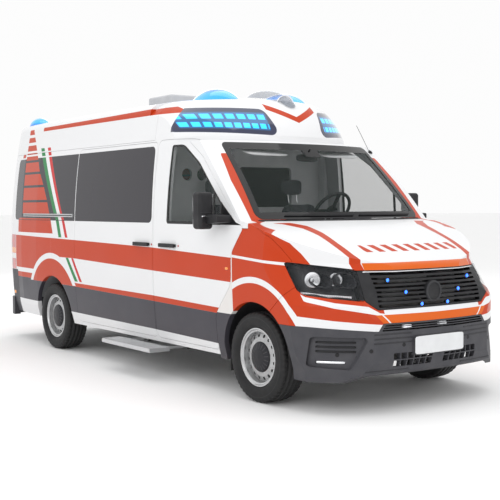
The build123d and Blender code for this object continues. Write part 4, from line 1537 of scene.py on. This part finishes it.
@dataclass
class SideTrim:
    """Handle cups, mirror glass and indicators, rail groove, antenna and rear door trim."""

    finish: PieceFinishes

    def handles(self) -> None:
        """A dished cup behind each door handle, with a small lock button."""
        for label, side, x, node, body in (
            ("front_right", -1, 0.790, "front_door_right", "front_door_right"),
            ("front_left", 1, 0.790, "front_door_left", "front_door_left"),
            ("sliding", -1, 0.339, "sliding_door", "body"),
        ):
            place, normal = touch(node, (x, side * 1.4, 1.175), (0, -side, 0))
            cup = Surface.plate(
                "handle_cup_" + label, tuple(place - normal * 0.001), (side, 0, 0),
                (0, 0, 1), (0.085, 0.030), 0.0035, 3.0, -0.0015,
            )
            outfit(cup, self.finish.white, body)
            lock = Surface.ball(
                "lock_button_" + label, tuple(place + np.array([0.165, 0, 0]) + normal * 0.002),
                (0.009, 0.004, 0.009), 2.0, 12,
            )
            outfit(lock, self.finish.red, body)

    def mirrors(self) -> None:
        """Mirror glass facing back, a silver indicator strip and a parting line."""
        for side, label in ((-1, "right"), (1, "left")):
            body = "front_door_" + label
            glass = Surface.plate(
                "mirror_glass_" + label, (1.4705, side * 1.147, 1.525), (0, -1, 0), (0, 0, 1),
                (0.054, 0.078), 0.002, 5.0,
            )
            outfit(glass, self.finish.chrome, body)
            low = Surface.plate(
                "mirror_low_glass_" + label, (1.4705, side * 1.147, 1.385), (0, -1, 0), (0, 0, 1),
                (0.054, 0.038), 0.002, 5.0,
            )
            outfit(low, self.finish.chrome, body)
            path = np.stack(
                [
                    np.linspace(1.585, 1.5905, 12), side * np.linspace(1.100, 1.195, 12),
                    np.full(12, 1.432),
                ],
                -1,
            )
            strip = Surface.tube("mirror_indicator_" + label, path, (0.004, 0.006))
            outfit(strip, self.finish.chrome, body)
            line = np.stack(
                [
                    np.linspace(1.5905, 1.5905, 12), side * np.linspace(1.098, 1.200, 12),
                    np.full(12, 1.462),
                ],
                -1,
            )
            outfit(
                Surface.tube("mirror_parting_" + label, line, (0.003, 0.003)), self.finish.satin,
                body,
            )

    def aerial(self) -> None:
        """A thin whip on the left front of the roof, with a rubber foot."""
        place, _ = touch("body_side_left", (1.306, 1.6, 1.996), (0, -1, 0))
        top = place + np.array([-0.22, 0.03, 0.27])
        t = np.linspace(0, 1, 20)[:, None]
        path = place * (1 - t) + top * t
        outfit(
            Surface.tube("aerial_whip", path, (0.0022, 0.0022), up=(0, 1, 0), sides=8),
            self.finish.black,
        )
        foot = Surface.lathe(
            "aerial_foot",
            [(0, -0.004), (0.024, -0.004), (0.020, 0.010), (0.008, 0.026), (0, 0.030)],
            tuple(place), (-0.3, 0, 1), 24,
        )
        outfit(foot, self.finish.black)

    def rail(self) -> None:
        """Dark groove along the sliding door's rail and its end cap."""
        path = np.stack(
            [np.linspace(-2.30, -1.09, 40), np.full(40, -1.0308), np.full(40, 1.4205)], -1,
        )
        outfit(
            Surface.tube("rail_groove", path, (0.0014, 0.005), sides=8, power=4.0),
            self.finish.black,
        )
        cap = Surface.ball("rail_end_cap", (-2.325, -1.012, 1.421), (0.016, 0.020, 0.018), 4.0, 14)
        outfit(cap, self.finish.black)

    def rear(self) -> None:
        """Rear door handle, hinges and a blank rear plate."""
        place, _ = touch("rear_door_right", (-3.4, -0.25, 0.93), (1, 0, 0))
        plate = Surface.plate(
            "rear_plate", tuple(place - np.array([0.0005, 0, 0])), (0, -1, 0), (0, 0, 1),
            (0.255, 0.06), 0.003, 16.0, 0.0006,
        )
        outfit(plate, self.finish.white, "rear_door_right")
        for side, label in ((-1, "right"), (1, "left")):
            for i, z in enumerate((0.66, 1.28, 2.12)):
                place, _ = touch("rear_door_" + label, (-3.4, side * 0.79, z), (1, 0, 0))
                hinge = Surface.ball(
                    f"rear_hinge_{label}_{i}", tuple(place), (0.009, 0.036, 0.020), 4.0, 14,
                )
                outfit(hinge, self.finish.satin, "rear_door_" + label)
        place, _ = touch("rear_door_right", (-3.4, -0.055, 1.16), (1, 0, 0))
        grip = Surface.ball(
            "rear_door_grip", tuple(place - np.array([0.008, 0, 0])), (0.012, 0.024, 0.085), 4.0,
            16,
        )
        outfit(grip, self.finish.black, "rear_door_right")

    def build(self) -> None:
        """Builds the side, roof and rear trim."""
        self.handles()
        self.mirrors()
        self.aerial()
        self.rail()
        self.rear()


@dataclass
class Cab:
    """Stuffed seats in place of the plain pads, visors, mirror and dash details."""

    finish: PieceFinishes
    pressure: float = 4.0
    cap: float = 0.022
    voxel: float = 0.008
    last_frame: int = 20
    seam_depth: float = 0.007
    seam_width: float = 0.006

    def soften(self, obj: bpy.types.Object) -> None:
        """Swells a pad with cloth under pressure, and holds each point within the cap.

        Args:
            obj: the pad, already remeshed; its mesh is changed in place.
        """
        before = np.empty(len(obj.data.vertices) * 3, np.float32)
        obj.data.vertices.foreach_get("co", before)
        cloth = obj.modifiers.new("swell", "CLOTH")
        cloth.settings.use_pressure = True
        cloth.settings.uniform_pressure_force = self.pressure
        cloth.settings.effector_weights.gravity = 0.0
        cloth.point_cache.frame_start, cloth.point_cache.frame_end = 1, self.last_frame
        for step in range(1, self.last_frame + 1):
            bpy.context.scene.frame_set(step)
        shape = obj.evaluated_get(bpy.context.evaluated_depsgraph_get())
        after = np.empty_like(before)
        shape.data.vertices.foreach_get("co", after)
        obj.modifiers.clear()
        bpy.context.scene.frame_set(1)
        move = (after - before).reshape(-1, 3)
        size = np.linalg.norm(move, axis=1, keepdims=True)
        move *= np.minimum(1.0, self.cap / np.maximum(size, 1e-9))
        obj.data.vertices.foreach_set("co", (before.reshape(-1, 3) + move).ravel())
        obj.data.update()

    def pad(
        self, name: str, centre: Point, half: Point, lean: float, seams: Sequence[float],
    ) -> bpy.types.Object:
        """Makes one stuffed pad: remesh, swell, then sewn channels.

        A channel lowers each point by 7 mm times exp(-(d / 6 mm)^2), where d is its
        distance from a plane across the pad.

        Args:
            name: the piece's name.
            centre: its middle.
            half: half sizes before it swells.
            lean: how far it leans back, in degrees.
            seams: places of the channels across the seat, from its middle.

        Returns:
            The pad.
        """
        tilt = np.array(Matrix.Rotation(math.radians(-lean), 3, "Y"))
        obj = Surface.ball(name, centre, half, 5.0, 30, tilt)
        remesh = obj.modifiers.new("even", "REMESH")
        remesh.mode, remesh.voxel_size, remesh.use_smooth_shade = "VOXEL", self.voxel, True
        data = bpy.data.meshes.new_from_object(
            obj.evaluated_get(bpy.context.evaluated_depsgraph_get())
        )
        obj.modifiers.clear()
        obj.data = data
        self.soften(obj)
        points = np.empty(len(obj.data.vertices) * 3, np.float32)
        obj.data.vertices.foreach_get("co", points)
        points = points.reshape(-1, 3)
        middle = np.array(centre, np.float32)
        inward = middle - points
        inward /= np.maximum(np.linalg.norm(inward, axis=1, keepdims=True), 1e-6)
        for place in seams:
            away = points[:, 1] - middle[1] - place
            points = points + inward * (self.seam_depth * np.exp(-(away / self.seam_width) ** 2))[:, None]
        obj.data.vertices.foreach_set("co", points.astype(np.float32).ravel())
        obj.data.update()
        fine = obj.modifiers.new("fine", "SUBSURF")
        fine.levels = fine.render_levels = 1
        outfit(obj, self.finish.cloth, "body")
        return obj

    def seats(self) -> None:
        """Cushion, back and headrest of the two seats, for the plain CAD pads."""
        pads = []
        for side, label in ((-1, "right"), (1, "left")):
            y = side * 0.43
            pads.append(
                self.pad(
                    "seat_cushion_" + label, (1.045, y, 0.972), (0.228, 0.228, 0.052), 0.0,
                    (-0.14, 0.14),
                )
            )
            pads.append(
                self.pad(
                    "seat_back_" + label, (0.747, y, 1.292), (0.042, 0.218, 0.255), -11.5,
                    (-0.13, 0.13),
                )
            )
            pads.append(
                self.pad(
                    "seat_headrest_" + label, (0.662, y, 1.686), (0.034, 0.112, 0.070), 0.0, (),
                )
            )
        for pad in pads:
            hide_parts("seat_pads")
        for side, label in ((-1, "right"), (1, "left")):
            for i, dy in enumerate((-0.05, 0.05)):
                path = np.stack(
                    [
                        np.linspace(0.690, 0.664, 10), np.full(10, side * 0.43 + dy),
                        np.linspace(1.535, 1.66, 10),
                    ],
                    -1,
                )
                post = Surface.tube(
                    f"headrest_post_{label}_{i}", path, (0.006, 0.006), up=(0, 1, 0),
                )
                outfit(post, self.finish.chrome)

    def roof_trim(self) -> None:
        """Sun visors, and a mirror on a stalk below the top border."""
        for side, label in ((-1, "right"), (1, "left")):
            visor = Surface.ball(
                "sun_visor_" + label, (1.36, side * 0.40, 1.965), (0.085, 0.21, 0.011), 4.0, 20,
                np.array(Matrix.Rotation(math.radians(18), 3, "Y")),
            )
            outfit(visor, self.finish.white)
        mirror = Surface.ball("cab_mirror", (1.43, 0.0, 1.925), (0.016, 0.115, 0.032), 4.0, 18)
        outfit(mirror, self.finish.black)
        stalk = np.stack(
            [np.linspace(1.435, 1.475, 10), np.zeros(10), np.linspace(1.935, 2.005, 10)], -1,
        )
        outfit(
            Surface.tube("cab_mirror_stalk", stalk, (0.008, 0.008), up=(0, 1, 0)),
            self.finish.black,
        )

    def dash(self) -> None:
        """Screen on the dash and a row of air vents."""
        screen = Surface.ball("dash_screen", (1.50, 0.02, 1.395), (0.014, 0.115, 0.045), 6.0, 18)
        outfit(screen, self.finish.black)
        for i, y in enumerate((-0.62, -0.22, 0.22, 0.64)):
            vent = Surface.ball(f"air_vent_{i}", (1.475, y, 1.352), (0.030, 0.055, 0.016), 5.0, 16)
            outfit(vent, self.finish.satin)

    def build(self) -> None:
        """Builds the cab's pieces."""
        self.seats()
        self.roof_trim()
        self.dash()


# --------------------------------------------------------------- the vehicle


@dataclass
class Studio:
    """Pale floor, soft lights and the camera at the photograph's angle."""

    eye: Point = (8.13, -5.44, 1.52)
    azimuth: float = 54.23
    elevation: float = 2.6
    roll: float = -0.24
    lens: float = 71.28
    sensor: float = 36.0
    floor_reach: float = 160.0

    def camera(self) -> None:
        """Makes the camera, turned by its azimuth, elevation and roll."""
        az, el, roll = (math.radians(v) for v in (self.azimuth, self.elevation, self.roll))
        back = Vector((math.sin(az) * math.cos(el), -math.cos(az) * math.cos(el), math.sin(el)))
        right = (-back).cross(Vector((0, 0, 1))).normalized()
        up = right.cross(-back)
        turned = math.cos(roll) * right + math.sin(roll) * up
        tipped = -math.sin(roll) * right + math.cos(roll) * up
        data = bpy.data.cameras.new("camera")
        data.lens, data.sensor_width, data.clip_end = self.lens, self.sensor, 200.0
        obj = bpy.data.objects.new("camera", data)
        obj.matrix_world = Matrix((
            (turned.x, tipped.x, back.x, self.eye[0]),
            (turned.y, tipped.y, back.y, self.eye[1]),
            (turned.z, tipped.z, back.z, self.eye[2]),
            (0, 0, 0, 1),
        ))
        bpy.context.scene.collection.objects.link(obj)
        bpy.context.scene.camera = obj

    def floor(self) -> None:
        """Makes a round floor whose height is 4 mm * (r / reach)^2, so it is level to the eye."""
        u = np.linspace(0.02, 1.0, 40) * self.floor_reach
        v = np.linspace(0, math.tau, 73)[:-1]
        radius, turn = np.meshgrid(u, v, indexing="ij")
        points = np.stack(
            [
                radius * np.cos(turn), radius * np.sin(turn),
                (radius / self.floor_reach) ** 2 * 0.004 - 0.0005,
            ],
            -1,
        )
        obj = Surface.grid("studio_floor", points, close_v=True, cap_start=True)
        g = Graph("studio_floor_paint")
        g.set(
            base_color=g.mix(g.noise(0.4, 2.0) * 0.1, (0.93, 0.93, 0.93), (0.89, 0.89, 0.89)),
            roughness=0.8,
        )
        g.set(specular_ior_level=0.1)
        obj.data.materials.append(g.material)

    def light(self, name: str, place: Point, target: Point, size: Pair, power: float) -> None:
        """Adds one soft rectangular light.

        Args:
            name: the light's name.
            place: where it stands.
            target: the point that it faces.
            size: its width and height in metres.
            power: its power in watts.
        """
        data = bpy.data.lights.new(name, "AREA")
        data.shape, data.size, data.size_y, data.energy = "RECTANGLE", size[0], size[1], power
        obj = bpy.data.objects.new(name, data)
        obj.location = place
        obj.rotation_euler = (Vector(target) - Vector(place)).to_track_quat("-Z", "Y").to_euler()
        bpy.context.scene.collection.objects.link(obj)

    def build(self) -> None:
        """Sets up the whole studio."""
        self.camera()
        self.floor()
        self.light("overhead", (0, 0, 9.0), (0, 0, 0), (11.0, 8.0), 260.0)
        self.light("key", (6.5, -9.0, 6.0), (0.5, 0, 1.2), (7.0, 5.0), 210.0)
        self.light("front", (11.0, 3.0, 4.5), (1.5, 0, 1.0), (6.0, 5.0), 60.0)
        self.light("rear_fill", (-10.0, 6.0, 5.0), (-1.0, 0, 1.2), (6.0, 5.0), 120.0)
        world = bpy.data.worlds.new("studio_air")
        world.use_nodes = True
        world.node_tree.nodes["Background"].inputs[0].default_value = (1.0, 1.0, 1.0, 1.0)
        world.node_tree.nodes["Background"].inputs[1].default_value = 0.98
        bpy.context.scene.world = world
        bpy.context.scene.view_settings.view_transform = "Standard"


@dataclass
class Bodywork:
    """Dresses the CAD nodes, each with the finish of its own place."""

    def zones(self) -> dict[str, Zone]:
        """The livery zone of each painted node."""
        return {
            "body_side_left": Zone.SIDE, "body_side_right": Zone.SIDE, "sliding_door": Zone.SIDE,
            "front_door_left": Zone.SIDE, "front_door_right": Zone.SIDE, "front_wings": Zone.WING,
            "front_panel": Zone.NOSE, "bonnet": Zone.BONNET, "rear_door_left": Zone.REAR,
            "rear_door_right": Zone.REAR, "roof_panel": Zone.ROOF, "roof_light_housing": Zone.HOUSING,
        }

    def finishes(self) -> dict[str, bpy.types.Material]:
        """The finish of each node that isn't painted in the livery.

        Returns:
            Node name to material.
        """
        black = Moulded(
            "black_moulding", (0.012, 0.012, 0.014), (0.030, 0.030, 0.032), 0.48,
        ).dress()
        grey = Moulded(
            "bumper_moulding", (0.052, 0.052, 0.060), (0.075, 0.074, 0.080), 0.50,
        ).dress()
        white = Moulded("pale_moulding", (0.62, 0.63, 0.64), (0.50, 0.51, 0.52), 0.45).dress()
        vent = Moulded("vent_moulding", (0.50, 0.51, 0.53), (0.42, 0.43, 0.45), 0.45).dress()
        dash = Moulded("dash_moulding", (0.020, 0.021, 0.026), (0.032, 0.033, 0.038), 0.55).dress()
        chassis = Moulded(
            "chassis_coat", (0.014, 0.014, 0.014), (0.045, 0.040, 0.034), 0.65, 300.0,
        ).dress()
        steel = Moulded(
            "exhaust_steel", (0.42, 0.40, 0.37), (0.20, 0.15, 0.11), 0.36, 500.0, 0.0002, 1.0,
        ).dress()
        cast = Moulded(
            "cast_alloy", (0.34, 0.34, 0.34), (0.20, 0.19, 0.18), 0.55, 600.0, 0.0008, 0.9,
        ).dress()
        iron = Moulded(
            "cast_iron", (0.10, 0.095, 0.09), (0.16, 0.10, 0.06), 0.62, 500.0, 0.0010, 0.7,
        ).dress()
        rail = Moulded(
            "anodised_rail", (0.60, 0.61, 0.62), (0.50, 0.51, 0.52), 0.34, 700.0, 0.0001, 0.85,
        ).dress()
        floor = Moulded("floor_coat", (0.24, 0.25, 0.26), (0.18, 0.18, 0.18), 0.6, 500.0).dress()
        lamp_black = Moulded(
            "lamp_housing", (0.010, 0.010, 0.012), (0.05, 0.05, 0.055), 0.25, 300.0, 0.0001,
        ).dress()
        fabric = Moulded(
            "seat_cloth", (0.050, 0.052, 0.060), (0.075, 0.077, 0.086), 0.85, 1600.0, 0.0006,
        ).dress()
        clear = Glass("clear_lens", (0.05, 0.055, 0.06), 0.86).dress()
        dome = Glass("search_dome", (0.22, 0.25, 0.30), 0.62).dress()
        screen = Windscreen("windscreen_glass", (0.04, 0.055, 0.05), 0.88).dress()
        door = DoorGlass("door_glass", (0.04, 0.055, 0.05), 0.80).dress()
        dark = SideGlass("privacy_glass", GLASS_FILM, 0.0, True).dress()
        rear = SideGlass("rear_glass", GLASS_FILM, 0.0).dress()
        bar = BlueBar("blue_bar_lens", (0.003, 0.008, 0.050), (0.01, 0.42, 1.0), 1.6).dress()
        beacon = BeaconLens("beacon_dome", (0.006, 0.030, 0.22), (0.01, 0.30, 1.0), 0.6).dress()
        tail = TailLens("tail_lamp", (0.3, 0.0, 0.0), (0.6, 0.0, 0.0), 0.0).dress()
        return {
            "blue_light_lenses": bar, "roof_beacons": beacon, "bulkhead": white, "roof_vent": vent,
            "chassis_frame": chassis, "front_axle": chassis, "rear_axle": chassis, "dashboard": dash,
            "door_rail": rail, "side_step": rail, "door_trim_left": black, "door_trim_right": black,
            "fuel_tank": black, "grille": black, "scuttle_panel": black, "seat_bases": black,
            "sliding_door_handle": black, "steering_wheel": black, "wheel_liners": black, "wipers": black,
            "engine": cast, "exhaust": steel, "fixed_side_glass": dark, "rear_door_glass_left": rear,
            "rear_door_glass_right": rear, "sliding_door_glass": dark, "front_bumper": grey,
            "rear_bumper": grey, "front_door_glass_left": door, "front_door_glass_right": door,
            "headlight_lenses": clear, "searchlight": dome, "windscreen": screen,
            "headlight_units": lamp_black, "knuckle_left": iron, "knuckle_right": iron, "seat_pads": fabric,
            "tail_lights": tail, "underbody": floor,
        }

    def build(self) -> None:
        """Gives every CAD node its finish."""
        livery = Livery()
        paints = {zone: livery.dress(zone) for zone in Zone}
        finishes = self.finishes()
        for name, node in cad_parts.items():
            zone = self.zones().get(name)
            material = paints[zone] if zone else finishes.get(name)
            if material is None:
                centre = 2.02 if "front" in name else -1.62
                if name.startswith("tyre"):
                    material = Tyre(
                        "rubber_" + name, (0.014, 0.014, 0.015), (0.022, 0.022, 0.022), 0.62, 700.0,
                        0.0003, centre_x=centre,
                    ).dress()
                else:
                    material = WheelPaint(
                        "wheel_" + name, (0.58, 0.59, 0.60), (0.46, 0.46, 0.46), 0.34, 600.0,
                        0.0001, 0.75, centre_x=centre,
                    ).dress()
            node.data.materials.clear()
            node.data.materials.append(material)
        log.info("dressed %d CAD nodes", len(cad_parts))


def main() -> None:
    """Builds the studio and the vehicle, and logs each assembly as it is built."""
    logging.basicConfig(level=logging.INFO, format="%(message)s")
    finish = PieceFinishes.make()
    for assembly in (
        Studio(), Bodywork(), TyreTreads(), Lamps(finish), FrontTrim(finish), SideTrim(finish),
        Cab(finish),
    ):
        assembly.build()
        log.info("built %s", type(assembly).__name__)


if __name__ == "__main__":
    main()
